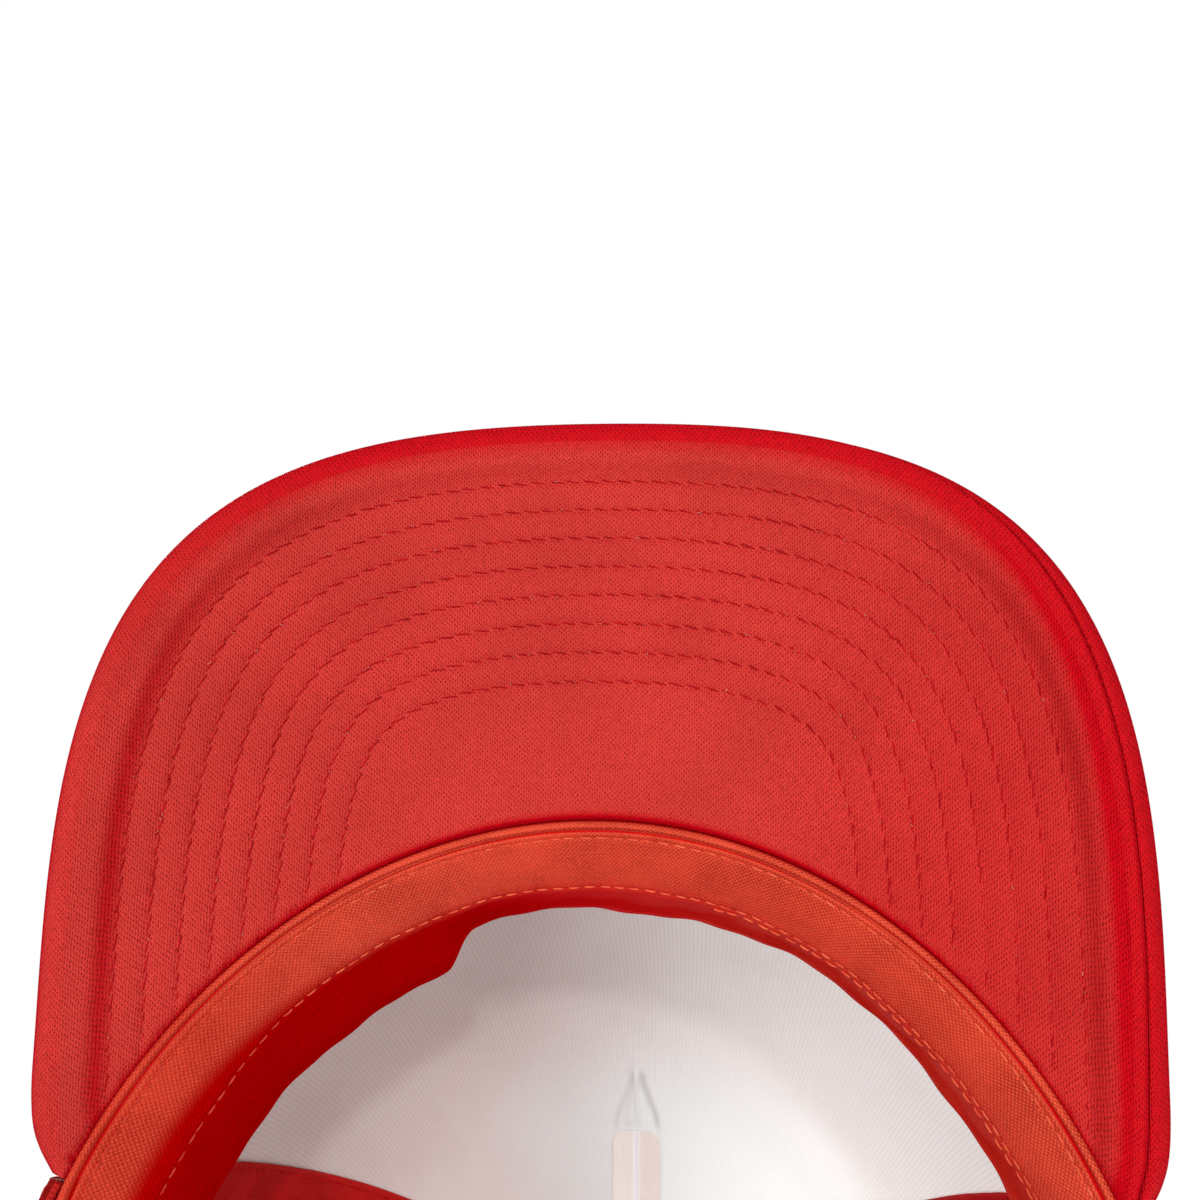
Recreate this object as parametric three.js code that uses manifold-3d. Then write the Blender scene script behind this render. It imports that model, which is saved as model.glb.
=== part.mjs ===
// Five-panel trucker cap: a foam front panel, four mesh panels, a padded curved brim,
// a sweatband and a plastic snap closure.
// Millimetres, +Z up. The wearer faces -Y, so the wearer's left is +X.
// The cap is drawn about the centre of its head opening, with the rear hem at height 0.
// The finished group is then set down with its origin on the floor, under the middle of its box.
import * as THREE from 'three';
import { mergeVertices } from 'three/addons/utils/BufferGeometryUtils.js';
import Module from 'manifold-3d';

const wasm = await Module();
wasm.setup();
const deg = THREE.MathUtils.degToRad;
const { smoothstep, lerp } = THREE.MathUtils;

// ---- Driving dimensions ----
const GAP = 0.3; // between neighbouring pieces

// The head opening is an oval, measured at the seam. Angles run from the front (0) to the back (pi).
const BASE_HALF_WIDTH = 86;
const BASE_HALF_LENGTH = 97;
const CROWN_TOP_Z = 124;
const CROWN_TOP_Y = 4;
const TOP_HOLE_SHARE = 0.05; // the panels stop at this share of the oval's size, under the button
const FRONT_SEAM = deg(69);
const SIDE_SEAM = deg(120);
const TAPE_WIDTH = 12;
const DART_TAPE_WIDTH = 11;
const DART_START = 98; // height of the dart's point above the front hem

const BRIM_TIP_Y = -166.7;
const BRIM_HALF_WIDTH = 84.8;
const BRIM_WIDEST_Y = -56;
const BRIM_END_ANGLE = deg(66.5);
const BRIM_END_Z = 3;
const BRIM_BEND_RADIUS = 130; // the brim bends across its width
const BRIM_SLOPE = 0.12; // and falls this much per millimetre towards its tip
const BRIM_EDGE_ROUND = 4;
const BRIM_INNER_OFFSET = 0.2;
const BOARD_HALF = 0.9;
const BOARD_INSET = 2;
const TOP_COVER = 2.2;
const UNDER_COVER = 1.8;
const CORD_RADIUS = 0.6;

const HEM_LEVEL_SPAN = deg(34); // the hem comes level this far behind the brim's end
const HEM_BAND_HEIGHT = 9;
const SWEATBAND_HEIGHT = 30;
const BAND_FRONT_LOW = -2.4; // beside the brim the band reaches down past the seam
const BAND_SEAM_LEAN = -1.8; // how far it leans inwards from its ply at the seam
const BAND_SLOPE_LEAN = 4.2; // where its slope ends
const BAND_TOP_LEAN = 2.2; // and at its free edge
const ARCH_HALF_WIDTH = 50; // the rear opening
const ARCH_HEIGHT = 58;
const ARCH_BINDING = 8;

const STRAP_HALF_WIDTH = 7.5; // over the snaps
const STRAP_ROOT_HALF_WIDTH = 9; // where it is sewn
const STRAP_MIDDLE_Z = 12.5;
const STRAP_HINGE_ANGLE = deg(32); // the strap's angles are measured from the back
const STRAP_TIP_ANGLE = deg(-13);
const STRAP_TAB_ANGLE = deg(11);
const HINGE_GAP_ANGLE = deg(0.8);
const SNAP_COUNT = 7;
const SNAP_PITCH = deg(6);
const SNAP_FROM_TIP = deg(4);
const PEG_RADIUS = 1.3;
const PEG_HEAD_RADIUS = 1.5;
const PEG_HEIGHT = 2.4;
const HOLE_RADIUS = 2.4;

const BUTTON_RADIUS = 7.5;
const BUTTON_RIM = 1;
const BUTTON_DOME = 3.4;
const BUTTON_LOW = 3.9; // above the crown's top, clear of the plies
const RIVET_RADIUS = 8;
const SHANK_RADIUS = 2.2;

// Each ply lies between two offsets from the seam surface, outwards positive.
const PLY = {
  fabric: [4.0, 4.8],
  foam: [1.1, 3.7],
  lining: [0.2, 0.8],
  mesh: [1.6, 2.8],
  hemBand: [1.0, 3.4],
  rearTape: [0.4, 1.2],
  frontTape: [-1.0, -0.2],
  interlining: [-3.1, -1.5],
  sweatband: [-4.2, -3.4],
  innerStrap: [-2.5, -1.3],
  outerStrap: [-1.0, 0.2],
};
const PLY_CENTRE = 1.9; // the plies are squeezed towards this offset under the button

// ---- The surfaces that everything is laid on ----
const brimEnd = new THREE.Vector2(
  BASE_HALF_WIDTH * Math.sin(BRIM_END_ANGLE),
  -BASE_HALF_LENGTH * Math.cos(BRIM_END_ANGLE),
);

function brimHeight(x, y) {
  const arch = (brimEnd.x ** 2 - x ** 2) / (2 * BRIM_BEND_RADIUS);
  return BRIM_END_Z + arch + BRIM_SLOPE * (y - brimEnd.y);
}

function brimNormal(x) {
  return new THREE.Vector3(x / BRIM_BEND_RADIUS, -BRIM_SLOPE, 1).normalize();
}

// The direction level and square to the head opening.
function baseOutwards(angle) {
  const x = Math.sin(angle) / BASE_HALF_WIDTH;
  const y = -Math.cos(angle) / BASE_HALF_LENGTH;
  return new THREE.Vector2(x, y).normalize();
}

function basePoint(angle, offset = 0) {
  const onOval = new THREE.Vector2(BASE_HALF_WIDTH * Math.sin(angle), -BASE_HALF_LENGTH * Math.cos(angle));
  return onOval.addScaledVector(baseOutwards(angle), offset);
}

// The hem follows the brim, then comes level behind it.
function hemHeight(angle) {
  const turn = Math.abs(angle);
  if (turn <= BRIM_END_ANGLE) {
    const p = basePoint(turn);
    return brimHeight(p.x, p.y);
  }
  const past = Math.min(1, (turn - BRIM_END_ANGLE) / HEM_LEVEL_SPAN);
  return BRIM_END_Z * (1 - past) ** 2;
}

// The crown's profile is a superellipse, boxy at the front and round at the back.
const profilePower = (angle) => 3.0 + 0.725 * Math.cos(angle) - 0.125 * Math.cos(angle) ** 2;
const profileLean = (angle) => 0.08 + 0.08 * Math.cos(angle) + 0.04 * Math.cos(angle) ** 2;
const PROFILE_SPACING = 1.35; // draws the stations together where the wall is upright

const profileEnd = (angle) => Math.acos(TOP_HOLE_SHARE ** (profilePower(angle) / 2));

// At a share of the way up: the share of the oval's size that is left, and of the height reached.
function profileAt(angle, share) {
  const power = 2 / profilePower(angle);
  const turn = profileEnd(angle) * share ** PROFILE_SPACING;
  const rise = Math.sin(turn) ** power;
  return { size: Math.cos(turn) ** power * (1 - profileLean(angle) * rise), rise };
}

function shareAtHeight(angle, height) {
  const rise = Math.max(height, 0.01) / (CROWN_TOP_Z - hemHeight(angle));
  const turn = Math.asin(rise ** (profilePower(angle) / 2));
  return (turn / profileEnd(angle)) ** (1 / PROFILE_SPACING);
}

function crownSurface(angle, share) {
  const { size, rise } = profileAt(angle, share);
  const base = basePoint(angle);
  const y = lerp(CROWN_TOP_Y, base.y, size);
  return new THREE.Vector3(base.x * size, y, lerp(hemHeight(angle), CROWN_TOP_Z, rise));
}

// A point on a ply of the crown. The plies are squeezed together under the button.
function crownPoint(angle, share, offset) {
  const step = 1e-3;
  const below = Math.min(share, 1 - step);
  const round = crownSurface(angle + step, share).sub(crownSurface(angle - step, share));
  const up = crownSurface(angle, below + step).sub(crownSurface(angle, below));
  const out = round.cross(up).normalize();
  const squeeze = 1 - 0.55 * smoothstep(share, 0.8, 1);
  return crownSurface(angle, share).addScaledVector(out, lerp(PLY_CENTRE, offset, squeeze));
}

// A point on the upright lower wall. Its offset is level, so that a hem's edge stays flat.
function wallPoint(angle, height, offset) {
  const wall = crownSurface(angle, shareAtHeight(angle, height));
  const out = baseOutwards(angle);
  return new THREE.Vector3(wall.x + out.x * offset, wall.y + out.y * offset, hemHeight(angle) + height);
}

// The same wall at the back, found from its place left or right of the middle.
function rearWallPoint(x, height, offset) {
  let angle = Math.PI;
  for (let pass = 0; pass < 4; pass++) {
    const { size } = profileAt(angle, shareAtHeight(angle, height));
    angle = Math.PI - Math.asin(x / (BASE_HALF_WIDTH * size));
  }
  return wallPoint(angle, height, offset);
}

// ---- Builders ----
const even = (from, to, count) => Array.from({ length: count + 1 }, (_, i) => lerp(from, to, i / count));

// A closed sheet: a box whose divisions take the values in us and vs, laid on a surface.
// place(u, v, w) has w = 0 on one face and 1 on the other, with u, v, w right-handed.
function sheet(us, vs, place) {
  const nu = us.length - 1;
  const nv = vs.length - 1;
  const box = new THREE.BoxGeometry(1, 1, 1, nu, nv, 1);
  const position = box.getAttribute('position');
  for (let i = 0; i < position.count; i++) {
    const u = us[Math.round((position.getX(i) + 0.5) * nu)];
    const v = vs[Math.round((position.getY(i) + 0.5) * nv)];
    const p = place(u, v, Math.round(position.getZ(i) + 0.5));
    position.setXYZ(i, p.x, p.y, p.z);
  }
  return smooth(box);
}

// Joins the vertices that share a place, and gives them normals.
function smooth(geometry) {
  geometry.deleteAttribute('normal');
  geometry.deleteAttribute('uv');
  const merged = mergeVertices(geometry, 1e-3);
  merged.computeVertexNormals();
  return merged;
}

function toSolid(geometry) {
  const merged = smooth(geometry.clone());
  return new wasm.Manifold(new wasm.Mesh({
    numProp: 3,
    vertProperties: new Float32Array(merged.getAttribute('position').array),
    triVerts: new Uint32Array(merged.index.array),
  }));
}

function toGeometry(solid) {
  const mesh = solid.getMesh();
  const geometry = new THREE.BufferGeometry();
  geometry.setAttribute('position', new THREE.BufferAttribute(new Float32Array(mesh.vertProperties), 3));
  geometry.setIndex(new THREE.BufferAttribute(new Uint32Array(mesh.triVerts), 1));
  geometry.computeVertexNormals();
  return geometry;
}

const cap = new THREE.Group();
cap.name = 'trucker_cap';

function add(name, geometry, material) {
  const mesh = new THREE.Mesh(geometry, material);
  mesh.name = name;
  cap.add(mesh);
}

// ---- Materials ----
const finish = (color, roughness) => new THREE.MeshStandardMaterial({ color, roughness, metalness: 0 });
const redKnit = finish(0xd1362f, 0.85);
const redCotton = finish(0xd03a2a, 0.85);
const redMesh = finish(0xc22a2a, 0.6);
const whiteFabric = finish(0xefece8, 0.85);
const whiteFoam = finish(0xf4f1e6, 0.95);
const clearTape = finish(0xe6deda, 0.4);
const redPlastic = finish(0xc8281f, 0.4);
const boardPlastic = finish(0xd8d8d0, 0.5);
const steel = new THREE.MeshStandardMaterial({ color: 0xb8babc, roughness: 0.35, metalness: 1 });

// ---- Crown panels ----
// Every panel and tape shares these stations up the crown, so that their facets stay parallel.
const STATIONS = even(0, 1, 11);
const stationsFrom = (share) => [share, ...STATIONS.filter((station) => station > share + 0.03)];

const HALF_GAP_ANGLE = GAP / 2 / BASE_HALF_WIDTH;

function panel(ply, angles, startAt) {
  const middle = (angles[0] + angles.at(-1)) / 2;
  const vs = stationsFrom(shareAtHeight(middle, startAt(middle)));
  return sheet(angles, vs, (angle, share, w) => {
    const onHem = share === vs[0];
    return crownPoint(angle, onHem ? shareAtHeight(angle, startAt(angle)) : share, ply[w]);
  });
}

// The lower edge runs clear of the brim's top cover, then comes down to the hem past the brim's end.
const frontStart = BOARD_HALF + GAP + TOP_COVER + 3 * GAP;
const CLEAR_END = deg(67.2);
const lowerEdge = (angle) => frontStart * (1 - smoothstep(Math.abs(angle), CLEAR_END, deg(71)));
const frontEnd = FRONT_SEAM - HALF_GAP_ANGLE;
const frontAngles = [-frontEnd, ...even(-CLEAR_END, CLEAR_END, 14), frontEnd];
for (const [name, ply, material] of [
  ['front_panel_fabric', PLY.fabric, whiteFabric],
  ['front_panel_foam', PLY.foam, whiteFoam],
  ['front_panel_lining', PLY.lining, whiteFabric],
]) {
  add(name, panel(ply, frontAngles, lowerEdge), material);
}

const meshStart = HEM_BAND_HEIGHT + 4 * GAP;

function meshPanel(from, to) {
  return panel(PLY.mesh, even(from + HALF_GAP_ANGLE, to - HALF_GAP_ANGLE, 8), () => meshStart);
}
add('side_mesh_left', meshPanel(FRONT_SEAM, SIDE_SEAM), redMesh);
add('side_mesh_right', meshPanel(-SIDE_SEAM, -FRONT_SEAM), redMesh);

// A solid through the rear wall with the outline of the arch and its binding.
function archCutter() {
  const halfWidth = ARCH_HALF_WIDTH + ARCH_BINDING + GAP;
  const height = ARCH_HEIGHT + ARCH_BINDING + GAP;
  const below = -5;
  return sheet(even(0, Math.PI, 28), even(0, 1, 6), (turn, v, w) => {
    const top = height * Math.sin(turn);
    return rearWallPoint(halfWidth * Math.cos(turn), lerp(below, top, v), w === 1 ? 10 : -8);
  });
}

const rearCut = toSolid(archCutter());
for (const [name, from, to] of [
  ['rear_mesh_left', SIDE_SEAM, Math.PI],
  ['rear_mesh_right', -Math.PI, -SIDE_SEAM],
]) {
  const whole = toSolid(meshPanel(from, to));
  add(name, toGeometry(whole.subtract(rearCut)), redMesh);
}

// ---- Hem band, arch binding and seam tapes ----
// The hem band starts just past the brim's end, and stops short of the arch binding's foot.
const hemStart = FRONT_SEAM + deg(1.2);
const hemEnd = Math.PI - Math.asin((ARCH_HALF_WIDTH + ARCH_BINDING) / BASE_HALF_WIDTH) - deg(0.7);

function hemBand(from, to) {
  return sheet(even(from, to, 16), [0, 1], (angle, v, w) => {
    return wallPoint(angle, lerp(lowerEdge(angle), HEM_BAND_HEIGHT, v), PLY.hemBand[w]);
  });
}
add('hem_band_left', hemBand(hemStart, hemEnd), redCotton);
add('hem_band_right', hemBand(-hemEnd, -hemStart), redCotton);

const archBinding = sheet(even(0, Math.PI, 28), [0, 1], (turn, v, w) => {
  const x = Math.cos(turn) * (ARCH_HALF_WIDTH + ARCH_BINDING * v);
  const z = Math.sin(turn) * (ARCH_HEIGHT + ARCH_BINDING * v);
  return rearWallPoint(x, z, PLY.hemBand[w]);
});
add('rear_arch_binding', archBinding, redCotton);

// A tape centred on a seam, from a height above the hem up to the ring round the button.
const TAPE_TOP_SHARE = STATIONS.at(-2);

function seamTape(seam, ply, startHeight, width = TAPE_WIDTH) {
  const vs = stationsFrom(shareAtHeight(seam, startHeight)).filter((share) => share <= TAPE_TOP_SHARE);
  return sheet([-1, 0, 1], vs, (side, share, w) => {
    const turn = deg(1);
    const chord = crownSurface(seam + turn, share).distanceTo(crownSurface(seam - turn, share));
    return crownPoint(seam + (side * turn * width) / chord, share, ply[w]);
  });
}

for (const [side, sign] of [['left', 1], ['right', -1]]) {
  add(`seam_tape_front_${side}`, seamTape(sign * FRONT_SEAM, PLY.frontTape, 2 * frontStart), redCotton);
  add(`seam_tape_side_${side}`, seamTape(sign * SIDE_SEAM, PLY.rearTape, meshStart), redCotton);
}
add('seam_tape_rear', seamTape(Math.PI, PLY.rearTape, ARCH_HEIGHT + ARCH_BINDING + 2), redCotton);
add('dart_tape', seamTape(0, PLY.frontTape, DART_START, DART_TAPE_WIDTH), clearTape);

// ---- Sweatband ----
const bandEnd = Math.PI - Math.asin(ARCH_HALF_WIDTH / BASE_HALF_WIDTH) - deg(1.2);
const interliningEnd = Math.PI - STRAP_HINGE_ANGLE - STRAP_TAB_ANGLE - deg(2);

// Behind the brim the band slopes in from its seam, then stands up. Towards the back it is upright.
const upright = (angle) => smoothstep(Math.abs(angle), deg(62), deg(115));
const pastBrim = (angle) => smoothstep(Math.abs(angle), BRIM_END_ANGLE, deg(78));

function bandLean(angle, height) {
  const slope = lerp(BAND_SEAM_LEAN, BAND_SLOPE_LEAN, smoothstep(height, -4, 11));
  const back = (BAND_SLOPE_LEAN - BAND_TOP_LEAN) * smoothstep(height, 14, SWEATBAND_HEIGHT);
  return (slope - back) * (1 - upright(angle));
}

const bandLow = (angle) => lerp(BAND_FRONT_LOW, 2 * GAP, pastBrim(angle));

// The band and its interlining share heights and angles, so that their facets stay parallel.
const SHARED_HEIGHTS = [3, 6, 9, 12, SWEATBAND_HEIGHT - 3];
const bandAngles = even(-bandEnd, bandEnd, 44);
const interliningAngles = [
  -interliningEnd,
  ...bandAngles.filter((angle) => Math.abs(angle) < interliningEnd - deg(1)),
  interliningEnd,
];

function band(ply, heights, angles) {
  return sheet(angles, heights, (angle, v, w) => {
    const height = Math.max(v, bandLow(angle));
    return wallPoint(angle, height, ply[w] - bandLean(angle, height));
  });
}
const sweatband = band(PLY.sweatband, [BAND_FRONT_LOW, ...SHARED_HEIGHTS, SWEATBAND_HEIGHT], bandAngles);
add('sweatband', sweatband, redCotton);
add('sweatband_interlining', band(PLY.interlining, SHARED_HEIGHTS, interliningAngles), whiteFoam);

// ---- Brim ----
// Half of the brim's outer edge in plan, from the tip to the corner where it meets the crown.
const edgeCorner = basePoint(BRIM_END_ANGLE, 3);
const edgeWidest = new THREE.Vector2(BRIM_HALF_WIDTH, BRIM_WIDEST_Y);
const brimEdge = new THREE.CurvePath();
brimEdge.add(new THREE.CubicBezierCurve(
  new THREE.Vector2(0, BRIM_TIP_Y),
  new THREE.Vector2(BRIM_HALF_WIDTH + 5, BRIM_TIP_Y),
  new THREE.Vector2(BRIM_HALF_WIDTH, BRIM_WIDEST_Y - 48),
  edgeWidest,
));
brimEdge.add(new THREE.CubicBezierCurve(
  edgeWidest,
  new THREE.Vector2(BRIM_HALF_WIDTH, BRIM_WIDEST_Y + 10),
  new THREE.Vector2(edgeCorner.x + 2.5, edgeCorner.y - 5),
  edgeCorner,
));

// A rib runs in plan from the crown's seam to the outer edge.
// across goes from -1 at the brim's right end to 1 at its left end.
function brimRib(across) {
  const edge = brimEdge.getPointAt(Math.min(Math.abs(across), 1));
  const inner = basePoint(across * BRIM_END_ANGLE, BRIM_INNER_OFFSET);
  const outer = new THREE.Vector2(across < 0 ? -edge.x : edge.x, edge.y);
  const length = outer.distanceTo(inner);
  const rounding = Math.min(BRIM_EDGE_ROUND, length * 0.6);
  return { inner, way: outer.sub(inner).normalize(), length, rounding };
}

// A point at a distance along a rib, lifted along the brim's normal.
function brimPoint(rib, distance, lift) {
  const p = rib.inner.clone().addScaledVector(rib.way, distance);
  return new THREE.Vector3(p.x, p.y, brimHeight(p.x, p.y)).addScaledVector(brimNormal(p.x), lift);
}

const BRIM_ACROSS = even(-1, 1, 36);

// A cover lies flat over the board, then rounds down to the seam along the outer edge.
// side is 1 for the top cover and -1 for the one underneath.
function brimCover(side, thickness) {
  const flat = [0, 0.35, 0.7, 1].map((share) => ({ share, turn: 0 }));
  const round = [deg(30), deg(60), deg(90)].map((turn) => ({ share: 1, turn }));
  const profile = [...flat, ...round];
  const rows = side > 0 ? profile : profile.reverse();
  const inside = { height: BOARD_HALF + GAP, reach: 0.55 };
  const outside = { height: BOARD_HALF + GAP + thickness, reach: 1 };
  return sheet(even(0, rows.length - 1, rows.length - 1), BRIM_ACROSS, (row, across, w) => {
    const rib = brimRib(across);
    const { share, turn } = rows[row];
    const { height, reach } = w === 1 ? outside : inside;
    const distance = (rib.length - rib.rounding) * share + rib.rounding * reach * Math.sin(turn);
    const lift = lerp(GAP / 2, height, Math.cos(turn));
    return brimPoint(rib, distance, side * lift);
  });
}
add('brim_top_cover', brimCover(1, TOP_COVER), redKnit);
add('brim_under_cover', brimCover(-1, UNDER_COVER), redKnit);

const board = sheet(even(0, 1, 3), BRIM_ACROSS, (share, across, w) => {
  const rib = brimRib(across);
  const inset = Math.min(BOARD_INSET, rib.length * 0.15);
  const distance = lerp(inset, rib.length - rib.rounding, share);
  return brimPoint(rib, distance, w === 1 ? BOARD_HALF : -BOARD_HALF);
});
add('brim_board', board, boardPlastic);

// The cord lies in the seam between the brim and the sweatband, level with the brim's underside.
const cordCurve = new THREE.CatmullRomCurve3(even(-1, 1, 24).map((across) => {
  return brimPoint(brimRib(across), -CORD_RADIUS - GAP, -BOARD_HALF - UNDER_COVER / 2);
}));
const cordSection = new THREE.Shape().absarc(0, 0, CORD_RADIUS, 0, 2 * Math.PI, false);
const cordPath = { steps: 40, curveSegments: 4, extrudePath: cordCurve };
add('brim_seam_cord', new THREE.ExtrudeGeometry(cordSection, cordPath), redCotton);

// ---- Snap closure ----
// Along a strap, angles run from the back towards its own sewn end.
// side is 1 for the strap on the wearer's left and -1 for the one on the right.
function strapPoint(side, along, z, offset) {
  const p = basePoint(side * (Math.PI - along), offset);
  return new THREE.Vector3(p.x, p.y, z);
}

// The strap is narrow over the snaps, wider where it is sewn, and round at its tip.
function strapHalfWidth(along) {
  const toTip = (along - STRAP_TIP_ANGLE) * BASE_HALF_WIDTH;
  const width = lerp(STRAP_HALF_WIDTH, STRAP_ROOT_HALF_WIDTH, smoothstep(toTip, 45, 68));
  const round = Math.min(1, toTip / STRAP_HALF_WIDTH);
  return Math.max(0.8, width * Math.sqrt(1 - (1 - round) ** 2));
}

function strapSheet(side, alongs, place) {
  const us = side > 0 ? [...alongs].reverse() : alongs;
  return sheet(us, [-1, 1], (along, v, w) => {
    return strapPoint(side, along, STRAP_MIDDLE_Z + v * strapHalfWidth(along), place(along, w));
  });
}

const innerPly = (along, w) => PLY.innerStrap[w];

// The outer strap starts level with the inner one and steps out over it.
function outerPly(along, w) {
  return lerp(PLY.outerStrap[w], PLY.innerStrap[w], smoothstep(along, deg(17), deg(30)));
}

// Turns a shape drawn up the Y axis to point straight out of the strap.
function pointOutwards(geometry, side, along, offset) {
  const at = strapPoint(side, along, STRAP_MIDDLE_Z, offset);
  const out = strapPoint(side, along, STRAP_MIDDLE_Z, offset + 1).sub(at).normalize();
  const turn = new THREE.Quaternion().setFromUnitVectors(new THREE.Vector3(0, 1, 0), out);
  return geometry.applyQuaternion(turn).translate(at.x, at.y, at.z);
}

function pegGeometry() {
  const root = -0.4;
  const profile = [
    [0, root],
    [PEG_RADIUS, root],
    [PEG_RADIUS, PEG_HEIGHT - 0.9],
    [PEG_HEAD_RADIUS, PEG_HEIGHT - 0.6],
    [PEG_RADIUS, PEG_HEIGHT - 0.2],
    [0, PEG_HEIGHT],
  ];
  return new THREE.LatheGeometry(profile.map(([r, y]) => new THREE.Vector2(r, y)), 10);
}

const strapAlongs = even(STRAP_TIP_ANGLE, STRAP_HINGE_ANGLE, 20);
const firstSnap = STRAP_TIP_ANGLE + SNAP_FROM_TIP;
const snapAlongs = even(firstSnap, firstSnap + (SNAP_COUNT - 1) * SNAP_PITCH, SNAP_COUNT - 1);

// The wearer's left strap lies outside and has the holes.
let strapLeft = toSolid(strapSheet(1, strapAlongs, outerPly));
for (const along of snapAlongs) {
  const drill = new THREE.CylinderGeometry(HOLE_RADIUS, HOLE_RADIUS, 8, 14);
  strapLeft = strapLeft.subtract(toSolid(pointOutwards(drill, 1, along, 0)));
}
add('snap_strap_left', toGeometry(strapLeft), redPlastic);

// The wearer's right strap lies inside and has the pegs.
let strapRight = toSolid(strapSheet(-1, strapAlongs, innerPly));
for (const along of snapAlongs) {
  strapRight = strapRight.add(toSolid(pointOutwards(pegGeometry(), -1, along, PLY.innerStrap[1])));
}
add('snap_strap_right', toGeometry(strapRight), redPlastic);

// The tabs are the sewn ends that the straps bend from.
const tabStart = STRAP_HINGE_ANGLE + HINGE_GAP_ANGLE;
for (const [name, side] of [['snap_tab_left', 1], ['snap_tab_right', -1]]) {
  add(name, strapSheet(side, even(tabStart, tabStart + STRAP_TAB_ANGLE, 4), innerPly), redPlastic);
}

// ---- Button ----
// Turns a profile of [radius, height above the crown's top] about the crown's axis.
function turned(profile) {
  const geometry = new THREE.LatheGeometry(profile.map(([r, z]) => new THREE.Vector2(r, z)), 20);
  return geometry.rotateX(Math.PI / 2).translate(0, CROWN_TOP_Y, CROWN_TOP_Z);
}

const buttonProfile = [[0, BUTTON_LOW], [BUTTON_RADIUS - 0.6, BUTTON_LOW]];
for (const turn of [0, 30, 60]) {
  const height = BUTTON_LOW + BUTTON_RIM + BUTTON_DOME * Math.sin(deg(turn));
  buttonProfile.push([BUTTON_RADIUS * Math.cos(deg(turn)), height]);
}
buttonProfile.push([0, BUTTON_LOW + BUTTON_RIM + BUTTON_DOME]);
add('button_cover', turned(buttonProfile), redCotton);

// The rivet's disc is inside the crown and its shank runs up to the button.
const rivetProfile = [
  [0, -1],
  [RIVET_RADIUS - 0.5, -1],
  [RIVET_RADIUS, -0.4],
  [RIVET_RADIUS - 0.5, 0.2],
  [SHANK_RADIUS, 0.2],
  [SHANK_RADIUS, BUTTON_LOW - GAP],
  [0, BUTTON_LOW - GAP],
];
add('button_rivet', turned(rivetProfile), steel);

// ---- Set the cap down with its origin on the floor ----
const bounds = new THREE.Box3().setFromObject(cap);
const middle = bounds.getCenter(new THREE.Vector3());
cap.position.set(-middle.x, -middle.y, -bounds.min.z);

export default cap;
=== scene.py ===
"""The looks of a trucker cap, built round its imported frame.

Shapes are worked out in millimetres about the middle of the head opening, as the frame's are. They are moved to
the row's metres when a mesh is made. Angles run round the head from the front (0) to the back (pi), and the
wearer's left is +X.
"""
import math

import bmesh
import bpy
import numpy as np
from mathutils import Matrix, Vector


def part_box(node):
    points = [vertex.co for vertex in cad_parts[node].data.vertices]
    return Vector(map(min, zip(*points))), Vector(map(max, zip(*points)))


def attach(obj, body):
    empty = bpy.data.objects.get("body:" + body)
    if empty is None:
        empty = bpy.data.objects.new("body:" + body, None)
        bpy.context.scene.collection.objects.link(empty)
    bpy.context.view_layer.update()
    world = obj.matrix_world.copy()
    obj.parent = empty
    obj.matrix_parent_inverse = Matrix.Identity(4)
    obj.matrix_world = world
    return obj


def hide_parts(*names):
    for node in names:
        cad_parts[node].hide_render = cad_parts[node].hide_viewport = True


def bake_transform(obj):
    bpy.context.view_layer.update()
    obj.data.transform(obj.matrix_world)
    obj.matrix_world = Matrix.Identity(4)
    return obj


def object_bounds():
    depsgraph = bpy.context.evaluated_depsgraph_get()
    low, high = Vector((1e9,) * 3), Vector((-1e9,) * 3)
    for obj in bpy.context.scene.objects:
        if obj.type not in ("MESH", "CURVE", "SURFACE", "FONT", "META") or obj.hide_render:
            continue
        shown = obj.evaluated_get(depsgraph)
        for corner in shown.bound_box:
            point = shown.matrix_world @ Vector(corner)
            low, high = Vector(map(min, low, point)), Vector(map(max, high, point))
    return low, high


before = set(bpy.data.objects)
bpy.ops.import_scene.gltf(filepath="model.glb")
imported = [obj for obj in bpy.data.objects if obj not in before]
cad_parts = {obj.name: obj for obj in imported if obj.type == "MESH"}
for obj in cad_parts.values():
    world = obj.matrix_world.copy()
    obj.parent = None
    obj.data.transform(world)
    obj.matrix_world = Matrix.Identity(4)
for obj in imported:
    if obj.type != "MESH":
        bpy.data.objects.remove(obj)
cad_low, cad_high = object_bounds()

rad = math.radians
rng = np.random.default_rng(11)

# ---- Driving dimensions, the same as the frame's ----
MM = 0.001
HALF_WIDTH, HALF_LENGTH = 86.0, 97.0
CROWN_TOP_Z, CROWN_TOP_Y = 124.0, 4.0
TOP_HOLE, SPACING, PLY_CENTRE = 0.05, 1.35, 1.9
FRONT_SEAM, SIDE_SEAM = rad(69), rad(120)
TAPE_WIDTH, DART_TAPE_WIDTH, DART_START = 12.0, 11.0, 100.3
BRIM_TIP_Y, BRIM_HALF_WIDTH, BRIM_WIDEST_Y = -166.7, 84.8, -56.0
BRIM_END, BRIM_END_Z, BRIM_RADIUS, BRIM_SLOPE = rad(66.5), 3.0, 130.0, 0.12
EDGE_ROUND, INNER_OFFSET = 4.0, 0.2
BOARD_TOP, TOP_COVER, UNDER_COVER = 1.2, 2.2, 1.8
HEM_LEVEL_SPAN, HEM_BAND, BAND_HEIGHT = rad(34), 9.0, 30.0
ARCH_HALF_WIDTH, ARCH_HEIGHT, ARCH_BINDING = 50.0, 58.0, 8.0
STRAP_Z, STRAP_HALF, STRAP_ROOT_HALF = 12.5, 7.5, 9.0
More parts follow.
